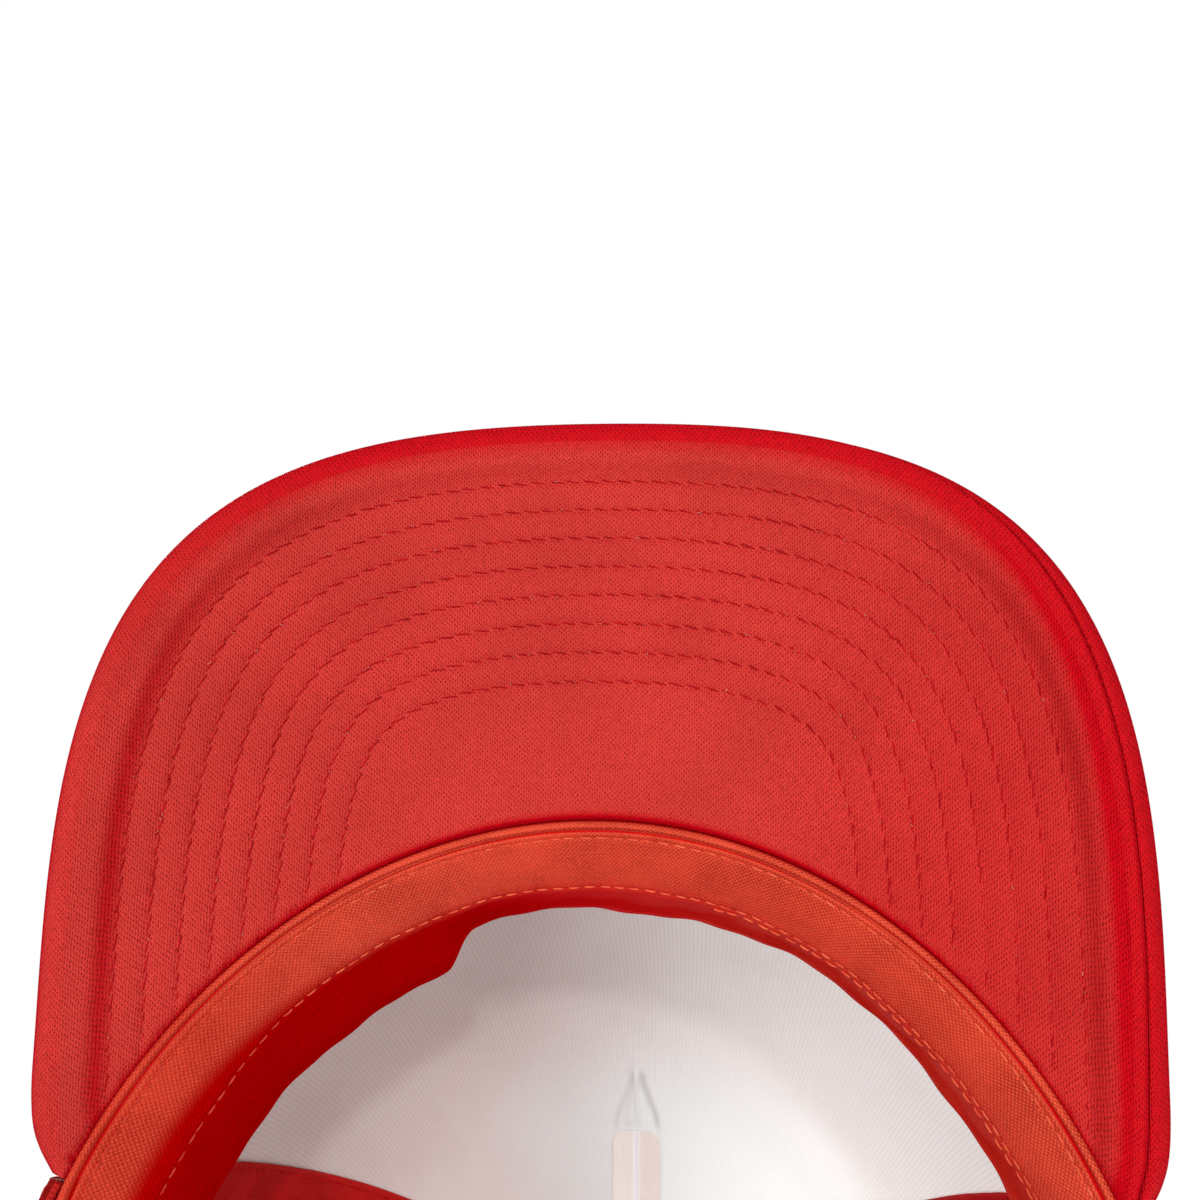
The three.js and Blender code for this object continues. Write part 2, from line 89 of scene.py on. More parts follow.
STRAP_HINGE, STRAP_TIP, STRAP_END = rad(32), rad(-13), rad(43.8)
SNAP_PITCH, SNAP_COUNT, HOLE_RADIUS = rad(6), 7, 2.4
FRONT_START, MESH_START, BUTTON_LOW = 4.3, 10.2, 3.9
PLY = {
    "fabric": (4.0, 4.8), "foam": (1.1, 3.7), "lining": (0.2, 0.8), "mesh": (1.6, 2.8), "hem": (1.0, 3.4),
    "rear_tape": (0.4, 1.2), "front_tape": (-1.0, -0.2), "interlining": (-3.1, -1.5), "band": (-4.2, -3.4),
    "inner_strap": (-2.5, -1.3), "outer_strap": (-1.0, 0.2),
}

button_low, button_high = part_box("button_cover")
SHIFT = np.array([
    (button_low.x + button_high.x) / 2,
    (button_low.y + button_high.y) / 2 - CROWN_TOP_Y * MM,
    button_low.z - (CROWN_TOP_Z + BUTTON_LOW) * MM,
])


# ---- Small sums ----
def ramp(x, low, high):
    t = np.clip((np.asarray(x, float) - low) / (high - low), 0, 1)
    return t * t * (3 - 2 * t)


def bell(x, width):
    return np.exp(-((np.asarray(x, float) / width) ** 2))


def lerp(a, b, t):
    return a + (b - a) * t


def unit(v):
    return v / np.maximum(np.linalg.norm(v, axis=-1, keepdims=True), 1e-12)


def stack(*parts):
    return np.stack(np.broadcast_arrays(*parts), -1)


def broad(*parts):
    return np.broadcast_arrays(*(np.asarray(part, float) for part in parts))


def run_along(line):
    """Length along a line of points, from its start to each of them."""
    return np.concatenate([[0], np.cumsum(np.linalg.norm(np.diff(line, axis=0), axis=1))])


# ---- The frame's surfaces ----
def base_out(a):
    return unit(stack(np.sin(a) / HALF_WIDTH, -np.cos(a) / HALF_LENGTH))


def base_point(a, offset=0.0):
    a = np.asarray(a, float)
    on = stack(HALF_WIDTH * np.sin(a), -HALF_LENGTH * np.cos(a))
    return on + base_out(a) * np.asarray(offset, float)[..., None]


END_X, END_Y = base_point(BRIM_END)


def brim_height(x, y):
    return BRIM_END_Z + (END_X**2 - x**2) / (2 * BRIM_RADIUS) + BRIM_SLOPE * (y - END_Y)


def hem_height(a):
    turn = np.abs(np.asarray(a, float))
    p = base_point(np.minimum(turn, BRIM_END))
    past = np.clip((turn - BRIM_END) / HEM_LEVEL_SPAN, 0, 1)
    return np.where(turn <= BRIM_END, brim_height(p[..., 0], p[..., 1]), BRIM_END_Z * (1 - past) ** 2)


def profile_power(a):
    c = np.cos(a)
    return 3.0 + 0.725 * c - 0.125 * c * c


def profile_end(a):
    return np.arccos(TOP_HOLE ** (profile_power(a) / 2))


def profile_at(a, share):
    c = np.cos(a)
    power = 2 / profile_power(a)
    turn = profile_end(a) * share**SPACING
    rise = np.sin(turn) ** power
    lean = 0.08 + 0.08 * c + 0.04 * c * c
    return np.cos(turn) ** power * (1 - lean * rise), rise


def share_at_height(a, height):
    rise = np.clip(np.maximum(height, 0.01) / (CROWN_TOP_Z - hem_height(a)), 0, 0.9999)
    turn = np.arcsin(rise ** (profile_power(a) / 2))
    return (turn / profile_end(a)) ** (1 / SPACING)


def crown_surface(a, share):
    size, rise = profile_at(a, share)
    base = base_point(a)
    y = lerp(CROWN_TOP_Y, base[..., 1], size)
    return stack(base[..., 0] * size, y, lerp(hem_height(a), CROWN_TOP_Z, rise))


def crown_drape(a, share):
    """Soft dents and swells shared by every ply of the crown, none at the hem and none at the button."""
    a, share = broad(a, share)
    waves = (0.55 * np.sin(3.1 * a + 2.2 + 2.5 * share) + 0.4 * np.sin(5.3 * a - 1.1 + 6.0 * share)
             + 0.3 * np.sin(9.7 * a + 0.4 - 4.0 * share) * np.sin(7 * share + 1))
    seams = sum(bell(np.abs(a) - s, 0.07) for s in (FRONT_SEAM, SIDE_SEAM, math.pi))
    dents = waves * (0.75 - 0.5 * np.clip(seams, 0, 1)) - 0.45 * seams
    return dents * ramp(share, 0.28, 0.5) * ramp(1 - share, 0.02, 0.2)


def crown_point(a, share, offset):
    """A point of the crown, offset outwards from its inner surface.

    The plies draw together towards the button.
    """
    a, share, offset = broad(a, share, offset)
    step = 1e-3
    below = np.minimum(share, 1 - step)
    around = crown_surface(a + step, share) - crown_surface(a - step, share)
    up = crown_surface(a, below + step) - crown_surface(a, below)
    out = unit(np.cross(around, up))
    squeeze = 1 - 0.55 * ramp(share, 0.8, 1)
    level = lerp(PLY_CENTRE, offset, squeeze) + crown_drape(a, share)
    return crown_surface(a, share) + out * level[..., None]


def wall_point(a, height, offset):
    """A point of the wall by its height above the hem, offset level."""
    a, height, offset = broad(a, height, offset)
    wall = crown_surface(a, share_at_height(a, height))
    out = base_out(a)
    level = wall[..., :2] + out * offset[..., None]
    return stack(level[..., 0], level[..., 1], hem_height(a) + height)


def rear_wall_point(x, height, offset):
    """A point of the rear wall by how far it is to the wearer's left of the middle."""
    x, height = broad(x, height)
    a = np.full(x.shape, math.pi)
    for _ in range(4):
        size, _rise = profile_at(a, share_at_height(a, height))
        a = math.pi - np.arcsin(np.clip(x / (HALF_WIDTH * size), -1, 1))
    return wall_point(a, height, offset)


# ---- Mesh makers ----
def make(name, points, faces, material, replaced=(), flat=None, body="cap", ride=True):
    """A mesh piece from points in millimetres. flat is each point's place on the uncut cloth, for the weave."""
    points = np.asarray(points, float).reshape(-1, 3)
    mesh = bpy.data.meshes.new(name)
    mesh.from_pydata((points * MM + SHIFT).tolist(), [], faces)
    mesh.validate()
    if signed_volume(mesh) < 0:
        mesh.flip_normals()
    if flat is not None:
        spread = np.zeros((len(points), 3), np.float32)
        flat = np.asarray(flat, float).reshape(len(points), -1)
        spread[:, : flat.shape[1]] = flat
        mesh.attributes.new("flat", "FLOAT_VECTOR", "POINT").data.foreach_set("vector", spread.ravel())
    mesh.shade_smooth()
    mesh.materials.append(material)
    piece = bpy.data.objects.new(name, mesh)
    bpy.context.scene.collection.objects.link(piece)
    if ride:
        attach(piece, body)
    if replaced:
        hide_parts(*replaced)
    return piece


def signed_volume(mesh):
    mesh.calc_loop_triangles()
    count = len(mesh.loop_triangles)
    corners = np.zeros(count * 3, np.int32)
    mesh.loop_triangles.foreach_get("vertices", corners)
    co = np.zeros(len(mesh.vertices) * 3)
    mesh.vertices.foreach_get("co", co)
    a, b, c = co.reshape(-1, 3)[corners.reshape(-1, 3)].transpose(1, 0, 2)
    return float(np.einsum("ij,ij->i", a, np.cross(b, c)).sum())


def quads(index, wrap=False):
    """Faces of a grid of point numbers. With wrap, the last row joins the first."""
    if wrap:
        index = np.concatenate([index, index[:1]])
    corners = [index[:-1, :-1], index[:-1, 1:], index[1:, 1:], index[1:, :-1]]
    return np.stack(corners, -1).reshape(-1, 4).tolist()


def shell(outer, inner):
    """A closed sheet between two grids with the same number of columns."""
    rows, cols = outer.shape[:2]
    out = np.arange(rows * cols).reshape(rows, cols)
    back = rows * cols + np.arange(inner.shape[0] * cols).reshape(-1, cols)
    faces = quads(out) + quads(back[::-1])
    faces += quads(np.stack([out[-1], back[-1]])) + quads(np.stack([back[0], out[0]]))
    faces += [out[:, 0].tolist() + back[::-1, 0].tolist(), out[::-1, -1].tolist() + back[:, -1].tolist()]
    return np.concatenate([outer.reshape(-1, 3), inner.reshape(-1, 3)]), faces


def tube(grid):
    """A closed tube: rows run round its section and columns along it."""
    index = np.arange(grid.shape[0] * grid.shape[1]).reshape(grid.shape[:2])
    faces = quads(index, wrap=True) + [index[:, 0].tolist(), index[::-1, -1].tolist()]
    return grid.reshape(-1, 3), faces


def rounded_section(half_width, edge, across):
    """A flat strip's section as (v, w): v in millimetres across, w from 0 on one face to 1 on the other."""
    edge = min(edge, half_width * 0.5)
    flats = np.linspace(-half_width + edge, half_width - edge, across)
    turns = np.linspace(-90, 90, 5)[1:-1]
    top = [(v, 1.0) for v in flats]
    right = [(half_width - edge + edge * math.cos(rad(t)), 0.5 + 0.5 * math.sin(rad(t))) for t in turns[::-1]]
    low = [(v, 0.0) for v in flats[::-1]]
    left = [(-half_width + edge - edge * math.cos(rad(t)), 0.5 + 0.5 * math.sin(rad(t))) for t in turns]
    return np.array(top + right + low + left)


def thread(points, normals, pitch, fill, radius, slant, sink, phase=0.0):
    """Stitches along a line on a surface, as the points and faces of small tubes that dive in at their ends.

    fill is the share of the pitch that shows, and slant how far each stitch's ends are off the line.
    """
    points, normals = np.asarray(points, float), unit(np.asarray(normals, float))
    keep = np.concatenate([[True], np.linalg.norm(np.diff(points, axis=0), axis=1) > 1e-6])
    points, normals = points[keep], normals[keep]
    length = run_along(points)
    count = int((length[-1] - phase) / pitch)
    if count < 1:
        return np.zeros((0, 3)), []
    starts = phase + pitch * np.arange(count) + rng.normal(0, 0.05 * pitch, count)
    t = np.array([0.0, 0.09, 0.28, 0.5, 0.72, 0.91, 1.0])
    at = starts[:, None] + t * pitch * fill
    place = np.stack([np.interp(at, length, points[:, k]) for k in range(3)], -1)
    up = unit(np.stack([np.interp(at, length, normals[:, k]) for k in range(3)], -1))
    along = unit(np.gradient(place, axis=1))
    side = unit(np.cross(along, up))
    lift = radius * 0.75 - sink * (2 * t - 1) ** 6
    lean = slant * (t - 0.5) * 2 + rng.normal(0, 0.03, (count, 1))
    centre = place + up * lift[None, :, None] + side * lean[..., None]
    sides = 6
    turn = np.arange(sides) * 2 * math.pi / sides
    thick = radius * np.array([0.45, 0.85, 1, 1.04, 1, 0.85, 0.45]) * (1 + 0.08 * rng.normal(size=(count, 1)))
    ring = np.cos(turn)[:, None] * up[:, :, None, :] + np.sin(turn)[:, None] * side[:, :, None, :]
    body = centre[:, :, None, :] + ring * thick[:, :, None, None]
    stations = len(t)
    index = np.arange(count * stations * sides).reshape(count, stations, sides)
    beside = np.roll(index, -1, axis=2)
    walls = np.stack([index[:, :-1], beside[:, :-1], beside[:, 1:], index[:, 1:]], -1).reshape(-1, 4).tolist()
    ends = index[:, 0, ::-1].tolist() + index[:, -1].tolist()
    return body.reshape(-1, 3), walls + ends


def join(parts):
    """One set of points and faces from several."""
    points, faces, offset = [], [], 0
    for some, those in parts:
        points.append(some)
        faces += [[i + offset for i in face] for face in those]
        offset += len(some)
    return np.concatenate(points), faces


def line_on(surface, us, v, flip=1.0):
    """A line of points and normals on surface(u, v), along u."""
    step = 1e-3
    here = surface(us, v)
    du = surface(us + step, v) - surface(us - step, v)
    dv = surface(us, v + step) - surface(us, v - step)
    return here, unit(np.cross(du, dv)) * flip


def lathe(profile, sides, bend=None):
    """A turned shape from (radius, height) pairs that begin and end on the axis."""
    turn = np.linspace(0, 2 * math.pi, sides, endpoint=False)
    profile = np.asarray(profile, float)
    r, z = profile[:, 0][:, None], profile[:, 1][:, None]
    if bend is not None:
        r, z = bend(r, z, turn)
    grid = stack(r * np.cos(turn), r * np.sin(turn), z + 0 * turn)
    rows = grid.shape[0]
    index = np.arange(rows * sides).reshape(rows, sides)
    ring = np.concatenate([index, index[:, :1]], 1)
    faces = quads(ring[1:-1])
    points = grid.reshape(-1, 3).copy()
    low, high = index[0, 0], index[-1, 0]
    faces += [[int(low), int(ring[1, k + 1]), int(ring[1, k])] for k in range(sides)]
    faces += [[int(high), int(ring[-2, k]), int(ring[-2, k + 1])] for k in range(sides)]
    used = sorted({i for face in faces for i in face})
    renumber = {old: new for new, old in enumerate(used)}
    return points[used], [[renumber[i] for i in face] for face in faces]


# ---- Materials ----
GLOW_LEFT, GLOW_RIGHT, GLOW_HIGH = 0.09, 0.42, 0.12  # painted glow of the lining, for light through the foam: each side, and higher up


class Finish:
    """A material made of nodes. Sockets are passed about as values."""

    def __init__(self, name):
        self.material = bpy.data.materials.new(name)
        self.material.use_nodes = True
        self.tree = self.material.node_tree
        self.tree.nodes.clear()

    def add(self, kind, inputs=(), **settings):
        node = self.tree.nodes.new("ShaderNode" + kind)
        for key, value in settings.items():
            setattr(node, key, value)
        for key, value in dict(inputs).items():
            if isinstance(value, bpy.types.NodeSocket):
                self.tree.links.new(value, node.inputs[key])
            else:
                node.inputs[key].default_value = value
        return node

    def math(self, operation, a, b=0.0, clamp=False):
        return self.add("Math", {0: a, 1: b}, operation=operation, use_clamp=clamp).outputs[0]

    def plus(self, a, b):
        return self.math("ADD", a, b)

    def minus(self, a, b):
        return self.math("SUBTRACT", a, b)

    def times(self, a, b):
        return self.math("MULTIPLY", a, b)

    def most(self, a, b, clamp=False):
        return self.math("MAXIMUM", a, b, clamp)

    def size(self, a):
        return self.math("ABSOLUTE", a)

    def span(self, value, low, high, to_low=0.0, to_high=1.0):
        """A smooth step between two values."""
        ends = {0: value, 1: low, 2: high, 3: to_low, 4: to_high}
        return self.add("MapRange", ends, interpolation_type="SMOOTHSTEP").outputs[0]

    def mix(self, share, a, b):
        return self.add("Mix", {0: share, 6: a, 7: b}, data_type="RGBA").outputs[2]

    def vector(self, operation, a, b):
        return self.add("VectorMath", {0: a, 1: b}, operation=operation).outputs[0]

    def noise(self, vector, scale, detail=2.0, rough=0.5, output="Fac"):
        inputs = {"Vector": vector, "Scale": scale, "Detail": detail, "Roughness": rough}
        return self.add("TexNoise", inputs).outputs[output]

    def flat(self):
        return self.add("Attribute", attribute_name="flat").outputs["Vector"]

    def object(self):
        """Place in the row's metres, turned to millimetres."""
        return self.vector("MULTIPLY", self.add("TexCoord").outputs["Object"], (1 / MM,) * 3)

    def jitter(self, vector, scale, amount):
        """Moves a place about by a noise, so that a weave isn't ruled."""
        centred = self.vector("SUBTRACT", self.noise(vector, scale, 1.0, output="Color"), (0.5,) * 3)
        return self.vector("ADD", vector, self.vector("MULTIPLY", centred, (amount,) * 3))

    def axes(self, vector):
        split = self.add("SeparateXYZ", {0: vector})
        return split.outputs[0], split.outputs[1], split.outputs[2]

    def wave(self, value, pitch):
        """A cosine of the given pitch in millimetres."""
        inputs = {0: value, 1: 2 * math.pi / pitch, 2: 0.0}
        turns = self.add("Math", inputs, operation="MULTIPLY_ADD").outputs[0]
        return self.math("COSINE", turns)

    def gloss(self, level):
        """Specular level that fades towards the silhouette, where loose fibres hide the yarn's shine."""
        edge = self.add("LayerWeight", {"Blend": 0.5}).outputs["Facing"]
        return self.span(edge, 0.25, 0.85, level, 0.0)

    def bump(self, height, distance, strength=1.0, normal=None):
        inputs = {"Height": height, "Distance": distance * MM, "Strength": strength}
        if normal is not None:
            inputs["Normal"] = normal
        return self.add("Bump", inputs).outputs[0]

    def stretched(self, vector, stretch, scale, detail=2.0, rough=0.5):
        """Noise of uneven grain: stretch is how many times finer it is along each axis."""
        return self.noise(self.vector("MULTIPLY", vector, stretch), scale, detail, rough)

    def finish(self, **inputs):
        """Wires up the shader. Inputs are its sockets' names, with _ for a space."""
        shader = self.add("BsdfPrincipled", {key.replace("_", " "): value for key, value in inputs.items()})
        self.add("OutputMaterial", {"Surface": shader.outputs[0]})
        return self.material


def linear(red, green, blue):
    """An sRGB colour out of 255 as linear RGBA."""
    def channel(c):
        c /= 255
        return c / 12.92 if c <= 0.04045 else ((c + 0.055) / 1.055) ** 2.4
    return (channel(red), channel(green), channel(blue), 1.0)


def knit(name, light, dark, deep, pitch=0.84, course=0.92):
    """Interlock knit: staggered dimples between fine vertical wales.

    It has shade painted into its colour: it is deepest in colour where it turns away, and the cloth's third
    flat
    value paints more of that shade: 0 to 1 for the deep colour, and on to 2 for painted shade in a seam's
    groove.
    """
    m = Finish(name)
    cloth = m.jitter(m.jitter(m.flat(), 0.35, 0.45), 1.6, 0.2)
    x, y, _ = m.axes(cloth)
    lattice = m.times(m.wave(x, pitch), m.wave(y, course))
    dimple = m.span(lattice, 0.1, 1.0)
    wale = m.span(m.wave(x, pitch / 2), -0.2, 1.0)
    patch = m.noise(m.flat(), 0.05, 3.0)
    fuzz = m.noise(m.flat(), 3.0, 4.0, 0.75)
    depth = m.times(dimple, m.span(m.noise(m.flat(), 0.8, 2.0), 0.3, 0.7, 0.4, 0.95))
    # Painted shade: towards the silhouette, and where the third flat value marks it, the knit takes its deep
    # colour.
    turned = m.span(m.add("LayerWeight", {"Blend": 0.5}).outputs["Facing"], 0.4, 0.9)
    painted_shade_mark = m.axes(m.flat())[2]
    away = m.most(turned, painted_shade_mark, clamp=True)
    shade = m.mix(m.span(patch, 0.35, 0.7, 0.0, 0.25), light, dark)
    shade = m.mix(away, shade, deep)
    # Painted shade in the seam's groove, where the mark runs on from 1 to 2.
    shade = m.mix(m.span(painted_shade_mark, 1.0, 2.0), shade, dark)
    shade = m.mix(depth, shade, dark)
    shade = m.mix(m.times(wale, 0.25), shade, dark)
    shade = m.mix(m.span(fuzz, 0.38, 0.66, 0.0, 0.6), shade, dark)
    bounced = m.add("LightPath").outputs["Is Diffuse Ray"]  # keeps the lit underside from colouring the floor
    shade = m.mix(bounced, shade, tuple(c * 0.35 for c in dark[:3]) + (1.0,))
    height = m.minus(m.times(fuzz, 0.8), m.plus(depth, m.times(wale, 0.3)))
    # The gloss fades where shade is painted.
    level = m.times(m.gloss(0.4), m.minus(1.0, m.times(away, 0.85)))
    return m.finish(Base_Color=shade, Roughness=0.56, Specular_IOR_Level=level,
                    Specular_Tint=(1, 1, 0.6, 1), Normal=m.bump(height, 0.16, 0.8))


def weave(name, light, dark, pitch=0.42, gloss=0.5, strength=0.8, lift=1.12, slubs=0.45, spec=(1, 1, 0.5, 1),
          shade_paint=None):
    """Plain-woven cloth, with slubs along both yarns.

    lift is how much brighter its light patches are. The last argument paints shade into the colour by place,
    and says how much gloss stays.
    """
    m = Finish(name)
    cloth = m.jitter(m.flat(), 0.8, 0.25)
    x, y, _ = m.axes(cloth)
    basket = m.times(m.wave(x, pitch * 2), m.wave(y, pitch * 2))
    under = m.span(basket, -0.5, 0.7)
    slub = m.plus(m.stretched(m.flat(), (0.35, 4.0, 1.0), 0.6), m.stretched(m.flat(), (4.0, 0.35, 1.0), 0.6))
    patch = m.noise(m.flat(), 0.07, 3.0)
    shade = m.mix(m.times(under, 0.75), light, dark)
    shade = m.mix(m.span(slub, 0.7, 1.35, 0.0, slubs), shade, dark)
    bright = tuple(min(1.0, c * lift) for c in light[:3]) + (1.0,)
    shade = m.mix(m.span(patch, 0.35, 0.7, 0.0, 0.5), shade, bright)
    level = m.gloss(gloss)
    if shade_paint is not None:
        shade, left = shade_paint(m, shade)
        level = m.times(level, left)
    height = m.minus(m.times(slub, 0.5), m.times(under, 0.8))
    return m.finish(Base_Color=shade, Roughness=0.58, Specular_IOR_Level=level,
                    Specular_Tint=spec, Normal=m.bump(height, 0.14, strength))


def tricot(name, light, dark, pitch=1.0):
    """Fine warp knit with ribs that run up the cap. A painted glow stands in for light that comes through it
    from the foam and front, and its colour has light and shade painted in.
    """
    m = Finish(name)
    cloth = m.jitter(m.flat(), 0.3, 0.35)
    x, y, _ = m.axes(cloth)
    crease = m.most(m.axes(m.flat())[2], 0.0)
    rib = m.span(m.wave(x, pitch), -0.7, 1.0)
    loops = m.times(m.wave(x, pitch / 2), m.wave(y, 0.7))
    patch = m.noise(m.flat(), 0.05, 3.0)
    fuzz = m.noise(m.flat(), 2.5, 2.0)
    shade = m.mix(m.times(rib, 0.30), light, dark)
    shade = m.mix(m.span(patch, 0.4, 0.75, 0.0, 0.3), shade, dark)
    # Painted light: high up, and less on the wearer's right, the lining is painted cooler, against the red
    # light that bounces onto it.
    painted_less_bounce = m.times(m.span(y, 92, 118, 0.0, 0.8), m.span(x, -65, -30, 0.3, 1.0))
    shade = m.mix(painted_less_bounce, shade, linear(184, 196, 198))
    # Painted shade in the dart's creases.
    shade = m.mix(m.times(crease, 0.7), shade, linear(138, 126, 120))
    height = m.plus(m.times(rib, -0.8), m.times(m.plus(loops, fuzz), 0.2))
    # Painted glow: pinker on the wearer's right, stronger on the wearer's left and higher up, less on the ribs
    # and in the creases.
    glow = m.mix(m.span(x, -60, 25), (1.0, 0.62, 0.56, 1), (0.98, 0.965, 0.95, 1))
    glow = m.mix(m.times(rib, 0.12), glow, (0.6, 0.5, 0.48, 1))
    through = m.plus(m.span(x, -40, 75, GLOW_LEFT, GLOW_RIGHT), m.span(y, 60, 125, 0.0, GLOW_HIGH))
    through = m.times(through, m.minus(1.0, m.times(crease, 0.6)))
    return m.finish(Base_Color=shade, Roughness=0.8, Sheen_Weight=0.1, Subsurface_Weight=0.15,
                    Subsurface_Radius=(2.0, 1.5, 1.2), Subsurface_Scale=MM, Normal=m.bump(height, 0.07, 0.7),
                    Emission_Color=glow, Emission_Strength=through)


def moulded(name, light, dark, roughness=0.38):
    """Injection-moulded plastic with a faint orange-peel and scuffs."""
    m = Finish(name)
    place = m.object()
    peel = m.noise(place, 1.8, 2.0)
    scuff = m.stretched(place, (0.4, 0.4, 3.0), 0.9, 4.0, 0.7)
    shade = m.mix(m.span(scuff, 0.45, 0.75, 0.0, 0.35), light, dark)
    rough = m.span(scuff, 0.35, 0.75, roughness - 0.06, roughness + 0.16)
    return m.finish(Base_Color=shade, Roughness=rough, Coat_Weight=0.12, Coat_Roughness=0.25,
                    Subsurface_Weight=0.05, Subsurface_Radius=(1.5, 0.5, 0.4), Subsurface_Scale=MM,
                    Normal=m.bump(peel, 0.04, 0.5))


def yarn(name, light, dark, shine=0.3, pitch=0.35, shaded=None):
    """Twisted sewing thread. shaded is its colour on the wearer's right, where the cap shades it."""
    m = Finish(name)
    place = m.object()
    x, y, z = m.axes(place)
    twist = m.wave(m.plus(m.plus(x, y), z), pitch)
    tone = m.noise(place, 0.4, 2.0)
    shade = m.mix(m.span(tone, 0.3, 0.75), light, dark)
    shade = m.mix(m.span(twist, 0.2, 1.0, 0.0, 0.4), shade, dark)
    if shaded is not None:
        shade = m.mix(m.span(x, -72, -35, 0.75, 0.0), shade, shaded)
    return m.finish(Base_Color=shade, Roughness=0.65, Specular_IOR_Level=shine, Normal=m.bump(twist, 0.05, 0.6))


def net_yarn(name, light, dark):
    """Stiff polyester net, a little glossy, with the grain of its knitted strands."""
    m = Finish(name)
    place = m.object()
    strand = m.noise(place, 3.2, 3.0, 0.7)
    patch = m.noise(place, 0.05, 2.0)
    shade = m.mix(m.span(strand, 0.3, 0.75), light, dark)
    shade = m.mix(m.span(patch, 0.4, 0.7, 0.0, 0.3), shade, dark)
    return m.finish(Base_Color=shade, Roughness=0.55, Sheen_Weight=0.1, Specular_IOR_Level=0.4,
                    Normal=m.bump(strand, 0.18, 0.9))


def foam_stuff(name, low=linear(214, 208, 190), high=linear(246, 242, 228)):
    m = Finish(name)
    place = m.object()
    cell = m.add("TexVoronoi", {"Vector": place, "Scale": 1.6}, feature="F1").outputs["Distance"]
    shade = m.mix(m.span(cell, 0.0, 0.6), low, high)
    return m.finish(Base_Color=shade, Roughness=0.95, Subsurface_Weight=0.2, Subsurface_Radius=(1, 1, 0.8),
                    Subsurface_Scale=MM, Normal=m.bump(cell, 0.3, 0.8))


def film(name):
    """Clear seam tape over white cloth: milky, glossier than the cloth, with fine lengthwise creases and a
    faint painted glow.
    """
    m = Finish(name)
    x, _, _ = m.axes(m.flat())
    crease = m.stretched(m.flat(), (2.2, 0.12, 1.0), 1.0, 3.0)
    middle = m.span(m.size(x), 0.35, 1.3, 1.0, 0.0)
    shade = m.mix(m.span(x, -0.5, 0.5), linear(222, 218, 213), linear(219, 211, 207))
    shade = m.mix(middle, shade, linear(228, 226, 228))
    streak = m.span(m.size(m.minus(x, 0.1)), 0.05, 0.35, 0.5, 0.0)
    shade = m.mix(streak, shade, linear(206, 200, 220))
    # Emission: a faint painted glow of the tape's own colour.
    return m.finish(Base_Color=shade, Roughness=m.span(crease, 0.3, 0.7, 0.22, 0.5), Coat_Weight=0.35,
                    Coat_Roughness=0.2, Normal=m.bump(crease, 0.25, 0.7), Emission_Color=shade,
                    Emission_Strength=0.16)


def nickel(name):
    m = Finish(name)
    brush = m.stretched(m.object(), (6.0, 0.5, 1.0), 1.0, 3.0)
    rough = m.span(brush, 0.3, 0.7, 0.22, 0.42)
    return m.finish(Base_Color=m.mix(brush, linear(205, 206, 208), linear(160, 161, 166)), Metallic=1.0,
                    Roughness=rough, Normal=m.bump(brush, 0.02, 0.4))


def board_stuff(name):
    m = Finish(name)
    grain = m.noise(m.object(), 0.7, 3.0)
    shade = m.mix(grain, linear(222, 221, 212), linear(196, 195, 186))
    rough = m.span(grain, 0.3, 0.7, 0.4, 0.6)
    return m.finish(Base_Color=shade, Roughness=rough, Normal=m.bump(grain, 0.05, 0.5))


# The knit's third colour is its painted shade.
KNIT = knit("brim_knit", linear(230, 47, 50), linear(158, 0, 14), linear(226, 0, 27))
BINDING = weave("binding_cotton", linear(200, 12, 22), linear(128, 2, 8), pitch=0.36, gloss=0.2)
BUTTON_CLOTH = weave("button_cotton", linear(202, 16, 26), linear(132, 4, 10), pitch=0.36)
FACE_CLOTH = weave("face_cloth", linear(246, 245, 243), linear(226, 224, 221), pitch=0.3, gloss=0.3,
                   strength=0.5, lift=1.02, slubs=0.15, spec=(1, 1, 1, 1))
LINING = tricot("lining_tricot", linear(190, 187, 186), linear(162, 156, 155))
FOAM = foam_stuff("panel_foam")
FELT = foam_stuff("band_interlining", linear(150, 12, 18), linear(186, 24, 28))
TAPE = film("clear_tape")
NET = net_yarn("mesh_yarn", linear(204, 20, 28), linear(136, 6, 12))
PLASTIC = moulded("snap_plastic", linear(198, 26, 28), linear(168, 14, 18))
THREAD_RED = yarn("thread_red", linear(210, 22, 32), linear(168, 2, 14), shine=0.08)
THREAD_ORANGE = yarn("thread_orange", linear(246, 120, 80), linear(228, 70, 44), shaded=linear(206, 30, 30))
LINT = yarn("thread_lint", linear(236, 150, 138), linear(220, 96, 90))
THREAD_WHITE = yarn("thread_white", linear(240, 238, 234), linear(205, 202, 198))
NICKEL = nickel("rivet_nickel")
BOARD = board_stuff("board_plastic")

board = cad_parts["brim_board"]
board.data.materials.clear()
board.data.materials.append(BOARD)


# ---- Brim ----
def bezier(points, t):
    a, b, c, d = (np.array(p, float) for p in points)
    t = t[:, None]
    return (1 - t) ** 3 * a + 3 * (1 - t) ** 2 * t * b + 3 * (1 - t) * t**2 * c + t**3 * d


edge_corner = base_point(BRIM_END, 3.0)
half_edge = np.concatenate([
    bezier([(0, BRIM_TIP_Y), (BRIM_HALF_WIDTH + 5, BRIM_TIP_Y), (BRIM_HALF_WIDTH, BRIM_WIDEST_Y - 48),
            (BRIM_HALF_WIDTH, BRIM_WIDEST_Y)], np.linspace(0, 1, 900)),
    bezier([(BRIM_HALF_WIDTH, BRIM_WIDEST_Y), (BRIM_HALF_WIDTH, BRIM_WIDEST_Y + 10),
            (edge_corner[0] + 2.5, edge_corner[1] - 5), edge_corner], np.linspace(0, 1, 160))[1:],
])
edge_run = run_along(half_edge)
edge_run /= edge_run[-1]


